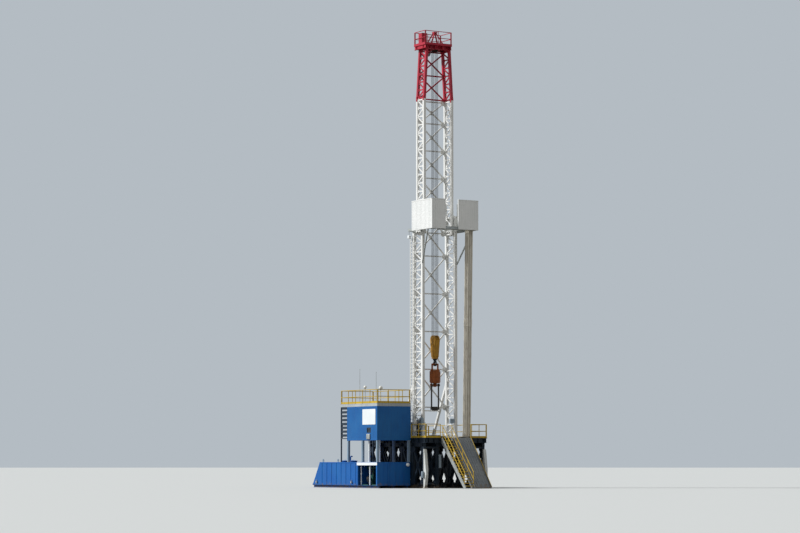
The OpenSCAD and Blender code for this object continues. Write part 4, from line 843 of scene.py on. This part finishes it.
# latch across the hook's mouth with its pin and spring box
addBar(shape, (0.19, 0, 10.02), (0.10, 0, 10.17), 0.09, 0.03)
addPin(shape, 0.10, (-0.09, 0.09), 10.17, 0.022, 12)
for y in (-0.08, 0.08):
    addBox(shape, (-0.06, 0.06), around(y, 0.005), (10.12, 10.24))
finishPiece("hookLatch", shape, machineIron, "travelling_gear", smooth=35)

shape = bmesh.new()
for z, deep in gear["swivelBands"]:
    addPin(shape, 0, 0, (z - deep, z), 0.405, 40)
boltCircle(shape, (0, 0, gear["swivelTop"]), "+Z", 0.36, 0.8, (15, 45, 135, 165, 195, 225, 315, 345))
for side in bothWays:
    y = side * gear["driveY"]
    for z in gear["driveBands"]:  # clamp bands round the two drive housings
        addPin(shape, 0, y, (z - 0.014, z), 0.164, 24)
    addPin(shape, 0, y, (gear["driveTop"], gear["driveTop"] + 0.05), 0.09, 20)
    boltCircle(shape, (0, y, gear["driveTop"]), "+Z", 0.12, 0.5, range(0, 360, 60))
    # collars where the bail's legs enter the body, and bosses of the link pivots
    addPin(shape, 0, side * 0.27, (gear["swivelTop"], 9.56), 0.095, 20)
    addPin(shape, 0, (side * 0.405, side * 0.425), gear["pivot"], 0.10, 20)
for turn in range(0, 360, 45):  # ribs of the neck
    addBox(shape, (0.125, 0.155), (-0.008, 0.008), (8.20, 8.42), moved(0, 0, 0, "Z", turn))
for side, way in eachX:
    addSoftBox(shape, around(side * 0.39, 0.018), (-0.12, 0.12), (8.60, 8.90), 0.02, 2, 0)
    addBolts(shape, side * 0.408, (-0.09, 0.09), (8.64, 8.86), way, 0.5)
finishPiece("swivelFlanges", shape, swivelOrange, "travelling_gear", smooth=35)

shape = bmesh.new()
elevator = gear["elevator"]
for y in around(0, gear["linkY"]):  # forged eyes, collars and foot of each link
    for edge in around(y, 0.045):
        addRing(shape, (0, edge, gear["linkTop"]), (0, 1, 0), 0.095, 0.018)
    for z in gear["linkCollars"]:
        addPin(shape, 0, y, around(z, 0.03), 0.062, 16)
    addPin(shape, 0, around(y, 0.07), elevator, 0.075, 20)
for z in (6.235, 6.516):
    addRing(shape, (0, 0, z), (0, 0, 1), 0.24, 0.014, 1.0, 32, 6)
# door hinge on one side and the latch with its handle on the other
addPin(shape, -0.26, 0, (6.24, 6.51), 0.035, 14)
addPin(shape, 0.26, 0, (6.26, 6.49), 0.028, 14)
for z in (6.28, 6.375, 6.47):
    addBox(shape, (-0.28, -0.20), (-0.05, 0.05), around(z, 0.03))
    addBox(shape, (0.20, 0.28), (-0.04, 0.04), around(z, 0.025))
addSoftBox(shape, around(0.29, 0.0125), (-0.10, 0.10), around(6.375, 0.0125), 0.006)
finishPiece("elevatorHinge", shape, forgedSteel, "travelling_gear", smooth=35)
print("travelling gear pieces made")


# Drawworks: rope on the drum, brake rims, side covers and the fins of the motor housing

works = {"drumX": -3.3, "drumZ": 4.95, "drumRadius": 0.31, "ropeHalfSpan": 0.525, "ropeTurns": 34,
         "rimY": 0.575, "rimRadius": 0.615, "rear": -4.915, "side": 0.735, "shoulder": 5.30, "foot": 4.16}
drumX, drumZ = works["drumX"], works["drumZ"]

shape = bmesh.new()  # one layer of rope side by side over the whole drum
start = Matrix.Translation((drumX + works["drumRadius"] + crown["ropeHalf"], -works["ropeHalfSpan"], drumZ))
sweepCircle(shape, start, crown["ropeHalf"], 6, (drumX, 0, drumZ), (0, 1, 0), works["ropeTurns"],
            works["ropeTurns"] * 24, 2 * works["ropeHalfSpan"])
finishPiece("drumRope", shape, rope, smooth=60)

shape = bmesh.new()
for side, way in eachY:
    y = side * works["rimY"]
    hub = y + side * 0.03
    addRing(shape, (drumX, y, drumZ), (0, 1, 0), works["rimRadius"], 0.016, 1.0, 48, 6)
    boltCircle(shape, (drumX, hub, drumZ), way, 0.50, 0.9, range(0, 360, 30))
    for turn in range(15, 360, 30):  # lightening ribs between hub and rim
        addBox(shape, (0.12, 0.46), around(0, 0.012), around(0, 0.012),
               moved(drumX, y + side * 0.034, drumZ, "Y", turn))
    addPin(shape, drumX, (hub, hub + side * 0.03), drumZ, 0.13, 24)
finishPiece("drumBrakeRims", shape, machineIron, smooth=35)

shape = bmesh.new()
for side, way in eachY:
    y = side * works["side"]
    # bearing housing and access cover on each side plate, stiffening ribs between them
    addPin(shape, drumX, (y, y + side * 0.07), drumZ, 0.19, 28)
    boltCircle(shape, (drumX, y + side * 0.07, drumZ), way, 0.155, 0.7, range(0, 360, 45))
    addSoftBox(shape, (-4.75, -4.00), (y, y + side * 0.05), (4.30, 5.15), 0.05, 3, 1)
    addBolts(shape, (-4.68, -4.375, -4.07), y + side * 0.05, (4.37, 5.08), way, 0.7)
    for x in (-3.80, -2.85):
        addBox(shape, around(x, 0.008), (y, y + side * 0.06), (works["foot"], 5.25))
    addBolts(shape, (-4.8, -4.2, -3.6, -3.0, -2.7), side * 0.70, works["foot"], "+Z", 1.2)
for i in range(14):  # cooling fins over the motor housing
    x = works["rear"] + 0.06 + 0.048 * i
    addBox(shape, around(x, 0.006), around(0, 0.66), (works["shoulder"], works["shoulder"] + 0.05))
for y in (-0.35, 0.35):  # lifting eyes
    addRing(shape, (-4.54, y, 5.34), (0, 1, 0), 0.05, 0.014, 1.0, 18, 6)
finishPiece("drawworksCovers", shape, drawworksGrey, smooth=35)

# Rotary table: bolts and rims round the ring, the seams of its split bushing, the bolts of its base and
# of the guard over its drive chain
rotary = {"top": 4.22, "seam": (4.218, 4.228), "boltRadius": 0.44, "rims": (0.385, 0.30, 0.236),
          "seamX": 0.305, "corner": 0.56, "base": 4.154, "guardTop": 4.176}
shape = bmesh.new()
boltCircle(shape, (0, 0, rotary["top"]), "+Z", rotary["boltRadius"], 0.6, range(0, 360, 15))
for radius in rotary["rims"]:
    addRing(shape, (0, 0, rotary["top"]), (0, 0, 1), radius, 0.007, 1.0, 40, 6)
for turn, x in product((0, 90), around(0, rotary["seamX"])):
    addBox(shape, around(x, 0.06), (-0.005, 0.005), rotary["seam"], moved(0, 0, 0, "Z", turn))
addBolts(shape, around(0, rotary["corner"]), around(0, rotary["corner"]), rotary["base"], "+Z", 1.4)
addBolts(shape, (-1.2, -1.05, -0.9, -0.75), (-0.13, 0.13), rotary["guardTop"], "+Z", 0.6)
finishPiece("rotaryBolts", shape, machineIron, smooth=35)
print("drawworks and rotary table pieces made")


# Drill floor: plate seams, toe boards, post feet, setback planks, consoles

floor = {"top": 4.0, "front": 3.25, "rear": -5.6, "half": 2.9, "toe": 0.15, "plate": 1.5, "seamY": 2.83,
         "mat": ((1.665, 3.134), (1.2355, 2.0275)), "matTop": 4.10, "planks": 4, "railInset": 0.038,
         "toeInset": 0.036, "cornerGap": 0.056}
deck = floor["top"]

shape = bmesh.new()
seam = (deck, deck + 0.004)
for i in range(1, 6):  # weld seams of the deck plates
    addBox(shape, around(floor["rear"] + floor["plate"] * i, 0.008), around(0, floor["seamY"]), seam)
for y in (-1.0, 1.0):
    addBox(shape, (floor["rear"] + 0.05, floor["front"] - 0.05), around(y, 0.008), seam)
finishPiece("deckSeams", shape, rampSteel)


def addToeBoard(shape, start, end, foot, tall):
    xs, ys = ((a, b) if abs(a - b) > 0.001 else around(a, 0.003) for a, b in zip(start, end))
    addBox(shape, xs, ys, (foot, foot + tall))


def addPostFeet(shape, start, end, foot):
    # base plate with two bolts under each railing post
    count = max(1, round(math.dist(start, end) / 1.15))
    for x, y in zip(*(spread(a, b, count) for a, b in zip(start, end))):
        addBox(shape, around(x, 0.055), around(y, 0.055), (foot, foot + 0.012))
        for off in around(0, 0.042):
            addBolts(shape, x + off, y + off, foot + 0.012, "+Z", 0.45)


def clamp(value, low, high):
    return min(max(value, low), high)


rear, front = floor["rear"] + floor["railInset"], floor["front"] - floor["railInset"]
far, gap, inset = floor["half"] - floor["railInset"], floor["cornerGap"], floor["toeInset"]
railRuns = (((1.03, -far), (front, -far)), ((front, gap - far), (front, -1.51)),
            ((front, 1.36), (front, far - gap)), ((front, far), (rear, far)),
            ((rear, far - gap), (rear, gap - far)), ((rear, -far), (-4.93, -far)))
shape = bmesh.new()
for ends in railRuns:  # the board stands just inside the posts
    inside = [(clamp(x, rear + inset, front - inset), clamp(y, inset - far, far - inset)) for x, y in ends]
    addToeBoard(shape, *inside, deck, floor["toe"])
    addPostFeet(shape, *ends, deck)
for ys in ((-1.45, -0.55), (-0.40, 1.30)):  # yellow nosings at the heads of the stairs and of the ramp
    addBox(shape, (3.15, 3.254), ys, (deck, deck + 0.006))
finishPiece("floorToeBoards", shape, railYellow)

shape = bmesh.new()
(matRear, matFront), matSpan = floor["mat"]
seams = spread(*matSpan, floor["planks"])
for low, high in zip(seams, seams[1:]):
    addSoftBox(shape, (matRear + 0.004, matFront - 0.004), (low + 0.006, high - 0.006),
               (floor["matTop"] - 0.02, floor["matTop"] + 0.006), 0.005)
finishPiece("setbackPlanks", shape, timber)

# Driller's console by the near front foot of the mast and a switch box on its post at the stair head
shape = bmesh.new()
deskFront, deskFoot, deskTop, boxFace = -2.10, 4.95, 5.64, 3.12
addSoftBox(shape, (0.95, 1.30), (deskFront, -1.86), (deskFoot, 5.58), 0.02, 2)
addSoftBox(shape, (0.99, 1.26), (-2.06, -1.90), (5.58, deskTop), 0.03, 2)
addBox(shape, (1.05, 1.20), (-2.02, -1.94), (deck, deskFoot))
addBox(shape, (0.98, 1.27), (-2.08, -1.88), (deck, deck + 0.02))
addSoftBox(shape, (2.98, boxFace), (-0.52, -0.12), (5.16, 5.52), 0.015, 2)
addBox(shape, (3.03, 3.07), (-0.35, -0.29), (deck, 5.16))
addBox(shape, (2.97, 3.13), (-0.41, -0.23), (deck, deck + 0.015))
finishPiece("floorConsoles", shape, consoleGrey, smooth=35)

shape = bmesh.new()
for i, j in product(range(4), range(3)):  # round gauges in three rows
    addPin(shape, 1.00 + 0.085 * i, (deskFront, deskFront - 0.015), 5.12 + 0.15 * j, 0.032, 16)
for x in spread(1.06, 1.20, 2):  # levers
    addPin(shape, x, -1.98, (deskTop, 5.70), 0.008, 8)
    addPin(shape, x, -1.98, (5.70, 5.73), 0.018, 10)
for y in (-0.45, -0.32, -0.19):  # dials and buttons of the switch box
    addPin(shape, (boxFace, 3.14), y, 5.40, 0.03, 14)
    addPin(shape, (boxFace, 3.135), y, 5.26, 0.02, 10)
finishPiece("consoleGauges", shape, machineIron, smooth=35)
print("drill floor pieces made")


# Substructure: gussets where the braces cross and meet, their bolts, web stiffeners

truss = {"rows": (-2.77, -1.58, 1.58, 2.77), "posts": spread(-5.39, 2.79, 5), "braceEnds": (0.50, 3.10),
         "crossing": 1.80, "plateOut": 0.081, "halfFlange": 0.125, "webs": (0.02, 3.32),
         "floorWebs": (3.62, 3.96)}
posts, crossing = truss["posts"], truss["crossing"]
shape = bmesh.new()
for y in truss["rows"]:
    for face, way in eachY:
        plane = y + face * truss["plateOut"]
        for left, right in zip(posts, posts[1:]):
            x = (left + right) / 2
            addSoftBox(shape, around(x, 0.22), around(plane, plateHalf), around(crossing, 0.22), 0.06, 1, 1)
            addBolts(shape, around(x, 0.13), plane + face * plateHalf, around(crossing, 0.13), way, 0.8)
            for z in truss["braceEnds"]:
                stamp(shape, boxPlate, moved(left + 0.11, plane, z))
                stamp(shape, boxPlate, moved(right - 0.11, plane, z, "Z", 180))
    for post, z in product(posts, truss["webs"]):  # stiffeners of the bottom and top beam at each post
        for x in around(post, 0.09):
            addBox(shape, around(x, plateHalf), around(y, truss["halfFlange"]), (z, z + 0.26))
for y, x in product((-2.77, 2.77), spread(-5.4, 3.08, 8)):  # and of the floor's edge beams
    addBox(shape, around(x, plateHalf), around(y, truss["halfFlange"]), truss["floorWebs"])
for xs, y in product(((3.25, 3.13), (-5.6, -5.48)), spread(-2.6, 2.6, 10)):
    addBox(shape, xs, around(y, plateHalf), truss["floorWebs"])
finishPiece("substructureGussets", shape, substructureNavyAndShade)

# Jacks: rims along the tapered legs, their pins and base plates
jackRims = (((3.10, 0.14), (3.28, 1.06)), ((3.28, 1.42), (3.05, 3.02)), ((2.93, 0.14), (2.93, 3.06)))
shape = bmesh.new()
for y in (-2.8, 2.8):
    for edge in around(y, 0.106):
        for (footX, footZ), (headX, headZ) in jackRims:
            addBar(shape, (footX, edge, footZ), (headX, edge, headZ), 0.03, 0.02)
        addPin(shape, 3.05, around(edge, 0.01), 1.25, 0.11, 20)
        addPin(shape, 2.97, around(edge, 0.012), 2.92, 0.05, 14)
    addBox(shape, (2.86, 3.21), around(y, 0.20), (0.004, 0.03))
    addBolts(shape, (2.95, 3.12), around(y, 0.17), 0.03, "+Z", 0.8)
finishPiece("jackRibs", shape, jackWhite, smooth=35)

shape = bmesh.new()  # grey cylinder under the stair head and a case on the near jack
for ends, radius in (((1.70, 2.55), 0.11), ((2.55, 2.66), 0.125), ((1.62, 1.70), 0.125)):
    addPin(shape, 3.02, -1.42, ends, radius, 20)
for z in (1.60, 2.60):
    addBox(shape, (2.85, 3.06), around(-1.42, 0.08), (z, z + 0.04))
addSoftBox(shape, (2.90, 3.04), (-3.10, -2.93), (0.84, 1.34), 0.02, 2)
addBox(shape, (2.94, 3.0), (-2.95, -2.86), (1.0, 1.2))
finishPiece("frontCylinder", shape, consoleGrey, smooth=35)
print("substructure pieces made")


# Stairs and pipe ramp

stair = {"treads": 17, "ys": (-1.45, -0.55), "run": 3.55}
rise, going = deck / 18, stair["run"] / 18
near, far = stair["ys"]
shape, grip = bmesh.new(), bmesh.new()
for i in range(1, stair["treads"] + 1):
    x, z = floor["front"] + i * going + 0.06, deck - i * rise
    addBox(shape, (x + 0.10, x + 0.132), (near + 0.06, far - 0.06), (z, z + 0.006))
    addBox(shape, (x + 0.125, x + 0.131), (near + 0.062, far - 0.062), (z - 0.045, z + 0.003))
    addGrating(grip, (x - 0.12, x + 0.095), (near + 0.065, far - 0.065), z - 0.004, 0.045, 0.005)
    for y, way in ((near, "-Y"), (far, "+Y")):
        addBolts(shape, around(x, 0.07), y, z - 0.02, way, 0.45)
finishPiece("stairNosings", shape, railYellow)
finishPiece("stairGratings", grip, galvanised)

ramp = {"ys": (-0.40, 1.30), "run": 3.05, "ribs": 8}
slope = math.atan2(deck - 0.04, ramp["run"])
length = ramp["run"] / math.cos(slope)
near, far = ramp["ys"]


def onRamp(along, y, off):
    # a point by its way down from the ramp's head and its height off the plate
    return Vector((floor["front"] + along * math.cos(slope) + off * math.sin(slope), y,
                   deck - along * math.sin(slope) + off * math.cos(slope)))


shape = bmesh.new()
for y in spread(near + 0.10, far - 0.10, ramp["ribs"] - 1):  # wear bars that the pipe slides on
    addBar(shape, onRamp(0.05, y, 0.008), onRamp(length - 0.06, y, 0.008), 0.045, 0.024)
for along in spread(0, length, 8)[1:-1]:
    addBar(shape, onRamp(along, near + 0.03, 0.003), onRamp(along, far - 0.03, 0.003), 0.02, 0.012)
for y in (near + 0.012, far - 0.012):
    addBar(shape, onRamp(0.05, y, 0.05), onRamp(length - 0.03, y, 0.05), 0.02, 0.10)
finishPiece("rampWearBars", shape, rampSteel)
shape = bmesh.new()
addBar(shape, onRamp(0.05, far - 0.012, 0.11), onRamp(length - 0.03, far - 0.012, 0.11), 0.035, 0.035)
finishPiece("rampKerbRail", shape, railYellow)
print("stair and ramp pieces made")


# Doghouse: corner trims, seams, window and door furniture, blank plate, lamps, roof fittings

cabin = {"xs": (-3.8, 0.95), "ys": (-6.0, -2.9), "under": 3.8, "floor": 4.0, "top": 6.5, "roof": 6.75,
         "porchRear": -4.85, "window": ((-0.62, -0.08), (4.44, 4.78)),
         "farWindow": ((-1.98, -1.44), (5.10, 5.44)), "door": ((-0.12, 0.70), (4.02, 5.98)),
         "rearDoor": (-4.86, -4.04), "plate": ((-1.33, 0.70), (5.05, 6.28)),
         "poles": ((-1.95, -5.9, 9.5), (0.62, -5.9, 9.2)),
         "globes": ((-1.10, -5.90, 8.05, 0.13), (0.86, -5.62, 7.95, 0.16))}
(rear, front), (near, far), roof = cabin["xs"], cabin["ys"], cabin["roof"]

shape = bmesh.new()
for (x, outX), (y, outY) in product(((rear, -1), (front, 1)), ((near, -1), (far, 1))):
    # folded trims down the four corners
    for proud, reachX, reachY in ((0.006, 0.06, 0.004), (0.007, 0.003, 0.06)):
        addBox(shape, (x + outX * proud, x - outX * reachX), (y + outY * proud, y - outY * reachY),
               (cabin["under"] + 0.02, cabin["top"] - 0.02))
for z in (cabin["under"] + 0.03, cabin["floor"] + 0.06, cabin["top"] - 0.05):  # level rails of the wall frame
    rail = around(z, 0.03)
    addBox(shape, (rear, front), (near - 0.008, near), rail)
    addBox(shape, (front, front + 0.008), (near, far), rail)
    addBox(shape, (rear - 0.008, rear), (near, -4.90), rail)
plateXs, plateZs = cabin["plate"]
for i in range(1, 24):  # shallow pressed swages of the wall sheets, left out behind the plate and the window
    x = rear + 0.198 * i
    spans = ((4.10, 6.44),)
    if -0.68 < x < -0.02:
        spans = ((4.10, 4.40), (4.82, 5.02), (6.31, 6.44))
    elif plateXs[0] - 0.05 < x < plateXs[1] + 0.05:
        spans = ((4.10, 5.02), (6.31, 6.44))
    for zs in spans:
        swage = addBox(shape, around(x, 0.03), (near - 0.007, near), zs)
        softenEdges(shape, [v for v in swage if v.co.y < near - 0.003], 0.006, 1, 2)
for i in [j for j in range(1, 16) if j != 5]:
    addBox(shape, (front, front + 0.007), around(near + 0.194 * i, 0.03), (4.10, 6.44))
addBox(shape, (front, front + 0.012), (-5.06, -5.00), (4.02, 6.46))
finishPiece("cabinSwages", shape, cabinBlue)


def addFrame(shape, xs, zs, ys, width):
    # a flat picture frame of four bars round an opening in a wall along X
    for z in (zs[0] - width, zs[1]):
        addBox(shape, (xs[0] - width, xs[1] + width), ys, (z, z + width))
    for x in (xs[0] - width, xs[1]):
        addBox(shape, (x, x + width), ys, zs)


shape = bmesh.new()
for name, frameYs, barYs in (("window", (near, near - 0.014), (-5.98, -5.962)),
                             ("farWindow", (far, far + 0.014), (-2.94, -2.92))):
    xs, zs = cabin[name]
    addFrame(shape, xs, zs, frameYs, 0.035)
    addBox(shape, around(sum(xs) / 2, 0.012), barYs, zs)
addFrame(shape, *cabin["door"], (far, far + 0.010), 0.05)
finishPiece("cabinFrames", shape, porchNavyAndShade)

shape = bmesh.new()
leaf, leafFace = (-0.94, -0.132), -2.842  # the far door stands open flat against the wall
doorYs = (cabin["rearDoor"][0] + 0.12, cabin["rearDoor"][1] - 0.12)
for z in (4.45, 5.15):  # pressed panels of both doors
    panel = (z, z + 0.55)
    addSoftBox(shape, (leaf[0] + 0.10, leaf[1] - 0.10), (leafFace, leafFace + 0.010), panel, 0.02, 2, 1)
    addSoftBox(shape, (rear, rear + 0.014), doorYs, panel, 0.02, 2, 0)
x, y = leaf[0] + 0.07, doorYs[1] + 0.04
addPin(shape, x, (leafFace, -2.79), 5.0, 0.014, 12)
addBox(shape, (x - 0.01, x + 0.12), (-2.80, -2.785), around(5.0, 0.015))
addSoftBox(shape, around(x, 0.035), (leafFace, leafFace + 0.006), (4.90, 5.10), 0.02, 2, 1)
for z in (4.25, 4.99, 5.73):
    addPin(shape, -0.126, -2.87, around(z, 0.07), 0.016, 12)
addPin(shape, (-3.79, -3.85), y, 5.0, 0.014, 12)
addBox(shape, (-3.855, -3.84), (y - 0.12, y + 0.01), around(5.0, 0.015))
finishPiece("doorFurniture", shape, cabinBlue, smooth=35)

shape = bmesh.new()
addSoftBox(shape, plateXs, (near - 0.022, near - 0.006), plateZs, 0.04, 3, 1)
addBolts(shape, (plateXs[0] + 0.07, sum(plateXs) / 2, plateXs[1] - 0.07), near - 0.022,
         (plateZs[0] + 0.07, plateZs[1] - 0.07), "-Y", head=screw)
finishPiece("blankPlate", shape, plateWhite)

shape = bmesh.new()
addSoftBox(shape, (-0.62, -0.10), (-6.09, near), (3.88, 4.31), 0.03, 3)  # grey case with louvres
for z in (3.98, 4.06, 4.14, 4.22):
    addBox(shape, (-0.56, -0.16), (-6.098, -6.088), (z, z + 0.03))
for x, y, z, radius in cabin["globes"]:  # stems of the globe lamps
    addPin(shape, x, y, (roof, z - radius + 0.02), 0.022, 12)
    addPin(shape, x, y, (roof, roof + 0.02), 0.06, 16)
    addPin(shape, x, y, (z - radius - 0.02, z - radius + 0.03), 0.05, 16, 0.07)
for x, y, top in cabin["poles"]:
    addPin(shape, x, y, (roof, top), 0.022, 12, 0.014)
    addPin(shape, x, y, (roof, roof + 0.15), 0.035, 14)
    addBall(shape, (x, y, top), 0.028, 12, 8)
finishPiece("cabinLampStems", shape, galvanised, smooth=40)

shape = bmesh.new()
for *centre, radius in cabin["globes"]:
    addBall(shape, centre, radius)
finishPiece("cabinLampGlobes", shape, opal, smooth=60)

shape = bmesh.new()
for x in spread(cabin["porchRear"], front, 14)[1:-1]:  # standing seams across the roof
    addBox(shape, around(x, 0.012), (near + 0.09, far - 0.09), (roof, roof + 0.025))
for z in (6.52, 6.71):  # folded lips along the edge of the roof
    addBox(shape, (cabin["porchRear"], front + 0.012), (near - 0.012, near), (z, z + 0.03))
    addBox(shape, (front, front + 0.012), (near, far), (z, z + 0.03))
    addBox(shape, (cabin["porchRear"], front), (far, far + 0.012), (z, z + 0.03))
for x, y in product((-3.2, -0.6), (-5.5, -3.4)):  # lifting eyes
    addRing(shape, (x, y, 6.83), (0, 1, 0), 0.06, 0.014, 1.0, 20, 8)
addSoftBox(shape, (-2.4, -1.6), (-4.6, -3.9), (roof, 6.84), 0.02, 2)
finishPiece("roofSeams", shape, roofCoat, smooth=35)

shape = bmesh.new()
inset, gap = 0.038, 0.068
x0, x1, y0, y1 = cabin["porchRear"] + inset, front - inset, near + inset, far - inset
for ends in (((x0, y0), (x1, y0)), ((x0, y1), (x1, y1)), ((x0, y0 + gap), (x0, y1 - gap)),
             ((x1, y0 + gap), (x1, y1 - gap))):
    addToeBoard(shape, *ends, roof, 0.16)
    addPostFeet(shape, *ends, roof)
finishPiece("roofToeBoards", shape, railYellow)

shape = bmesh.new()
addGrating(shape, (-4.85, -3.82), (-5.99, -2.91), cabin["floor"])
finishPiece("porchGrating", shape, galvanised)

shape = bmesh.new()
for x, y in product((-3.71, -1.425, 0.86), (-5.91, -3.03)):  # base and head plates of the cabin's legs
    for zs in ((2.073, 2.09), (3.78, 3.797)):
        addBox(shape, around(x, 0.14), (max(y - 0.14, near), y + 0.12), zs)
    addBolts(shape, around(x, 0.115), y, 2.09, "+Z", 0.8)
    for side in bothWays:
        addBox(shape, (x + side * 0.09, x + side * 0.15), around(y, 0.008), (2.09, 2.24))
finishPiece("cabinLegPlates", shape, consoleGrey)
print("doghouse pieces made")


# Tank and pump bay

tank = {"rear": -9.6, "topRear": -8.3, "far": -2.94, "top": 2.07, "bay": -2.25, "ribs": (0.24, 2.02),
        "firstRib": -7.9, "ribPitch": 0.78, "nearRibs": 8, "farRibs": 12, "manholes": (-6.9, -5.6),
        "manholeY": -4.4, "vents": (-7.9, -4.9), "valves": (-8.7, -3.0), "lamp": (1.10, -3.24, 1.86)}
top = tank["top"]

shape = bmesh.new()
for side, y, count in ((-1, near, tank["nearRibs"]), (1, tank["far"], tank["farRibs"])):
    for i in range(count):
        x = tank["firstRib"] + tank["ribPitch"] * i
        rib = addBox(shape, around(x, 0.035), (y, y + side * 0.03), tank["ribs"])
        softenEdges(shape, [v for v in rib if abs(v.co.y - y) > 0.02], 0.015, 1, 2)
for y in (-5.35, -4.8, -4.25, -3.6):
    addBox(shape, (front, front + 0.028), around(y, 0.035), (0.25, 2.02))
addBox(shape, (front, front + 0.035), (-5.06, -4.98), (0.22, 2.05))
for y in (-5.5, -4.9, -4.3, -3.7, -3.2):  # ribs up the sloping end
    addBar(shape, (tank["rear"] + 0.128, y, 0.248), (tank["topRear"] - 0.032, y, 2.048), 0.03, 0.07)
# folded lip round the deck and the rail at the foot
addBox(shape, (tank["topRear"], tank["bay"]), (near - 0.02, near), (2.0, 2.05))
addBox(shape, (tank["topRear"], front), (tank["far"], tank["far"] + 0.02), (2.0, 2.05))
addBox(shape, (-9.45, tank["bay"] - 0.02), (near - 0.016, near), (0.24, 0.31))
finishPiece("tankRibs", shape, tankBlue)

shape = bmesh.new()
for x in tank["manholes"]:  # round manholes with dished lids, bolts and handle
    y = tank["manholeY"]
    addPin(shape, x, y, (top, top + 0.08), 0.34, 36)
    addPin(shape, x, y, (top + 0.08, top + 0.10), 0.38, 36)
    addPin(shape, x, y, (top + 0.10, top + 0.14), 0.36, 36, 0.20)
    boltCircle(shape, (x, y, top + 0.10), "+Z", 0.36, 0.7, range(0, 360, 45))
    addBox(shape, around(x, 0.12), around(y, 0.01), around(top + 0.17, 0.01))
for x in tank["vents"]:  # vent pipes with their bent heads
    addPin(shape, x, -3.3, (top, 2.45), 0.05, 16)
    addRing(shape, (x, -3.2, 2.45), (1, 0, 0), 0.10, 0.05, 0.5, 12, 14)
finishPiece("tankHatches", shape, tankBlue, smooth=35)

shape = bmesh.new()
for x in tank["valves"]:  # drain valves on the near side
    addPin(shape, x, (near, -6.10), 0.45, 0.055, 18)
    addPin(shape, x, (-6.10, -6.125), 0.45, 0.09, 22)
    addPin(shape, x, -6.06, (0.50, 0.61), 0.02, 10)
    addRing(shape, (x, -6.06, 0.62), (0, 0, 1), 0.07, 0.010, 1.0, 22, 6)
finishPiece("tankValves", shape, galvanised, smooth=35)

shape = bmesh.new()
_, lampY, lampZ = tank["lamp"]  # round lamp on the front of the tank
addPin(shape, (0.978, 1.03), lampY, lampZ, 0.07, 20)
addBall(shape, tank["lamp"], 0.15)
addBox(shape, (tank["bay"], 0.934), (-6.006, near), (1.82, 2.04))  # white cover along the head of the bay
addBox(shape, (-2.10, 0.784), (-6.010, -5.86), (1.815, 1.825))
finishPiece("bayLintelCover", shape, plateWhite)

# Two pumps with their motors on the floor of the bay
pump = {"rows": (-1.35, 0.15), "motor": (-4.05, -4.85), "volute": (-4.95, -5.22), "inlet": -5.45,
        "shaft": 0.72, "riserX": 0.22, "riserY": -5.10, "valve": 1.32}
shape, flanges = bmesh.new(), bmesh.new()
for x in pump["rows"]:
    axle, riser, riserY = pump["shaft"], x + pump["riserX"], pump["riserY"]
    addBox(shape, around(x, 0.42), (-5.75, -4.0), (0.22, 0.30))
    addPin(shape, x, pump["motor"], axle, 0.26, 28)
    for i in range(9):  # cooling fins
        addPin(shape, x, (-4.78 + 0.08 * i, -4.755 + 0.08 * i), axle, 0.285, 28)
    addPin(shape, x, (pump["motor"][1], pump["volute"][0]), axle, 0.14, 20)
    addPin(shape, x, pump["volute"], axle, 0.33, 32)
    addPin(shape, x, (pump["volute"][1], pump["inlet"]), axle, 0.14, 24, 0.18)
    for ys in ((-5.2, -5.0), (-4.69, -4.19)):
        addBox(shape, around(x, 0.25), ys, (0.30, 0.50))
    addPin(shape, riser, riserY, (axle, 1.55), 0.09, 20)
    addPin(flanges, x, (pump["inlet"], pump["inlet"] - 0.04), axle, 0.23, 26)
    boltCircle(flanges, (x, pump["inlet"] - 0.04, axle), "-Y", 0.19, 0.6, spread(22.5, 337.5, 7))
    for z in (1.15, 1.50):
        addPin(flanges, riser, riserY, (z, z + 0.035), 0.15, 24)
    addPin(flanges, riser, (riserY, riserY - 0.24), pump["valve"], 0.02, 10)
    addRing(flanges, (riser, riserY - 0.25, pump["valve"]), (0, 1, 0), 0.11, 0.012, 1.0, 26, 6)
addPin(shape, (-2.05, 0.80), pump["riserY"], 1.62, 0.11, 22)
finishPiece("bayPumps", shape, pumpGreen, smooth=35)
finishPiece("bayPumpFlanges", flanges, machineIron, smooth=35)


def addFlangedPipe(shape, x, y, ends, radius, flangeRadius, levels, thick, sides):
    addPin(shape, x, y, ends, radius, sides[0])
    for z in levels:
        addPin(shape, x, y, (z, z + thick), flangeRadius, sides[1])


shape = bmesh.new()
for x, radius in ((-2.0, 0.045), (-0.62, 0.06), (0.62, 0.05)):  # pale pipes in the bay
    addFlangedPipe(shape, x, -5.72, (0.24, 1.80), radius, radius + 0.03, (0.5, 1.1, 1.6), 0.03, (16, 16))
for x, y in ((-0.52, -4.9), (-0.95, -5.6)):  # pipes that rise from the deck into the cabin's floor
    addFlangedPipe(shape, x, y, (top, 3.8), 0.07, 0.11, (top, 2.9, 3.74), 0.05, (18, 20))
finishPiece("bayPipes", shape, plateWhite, smooth=35)
print("tank and pump bay pieces made")
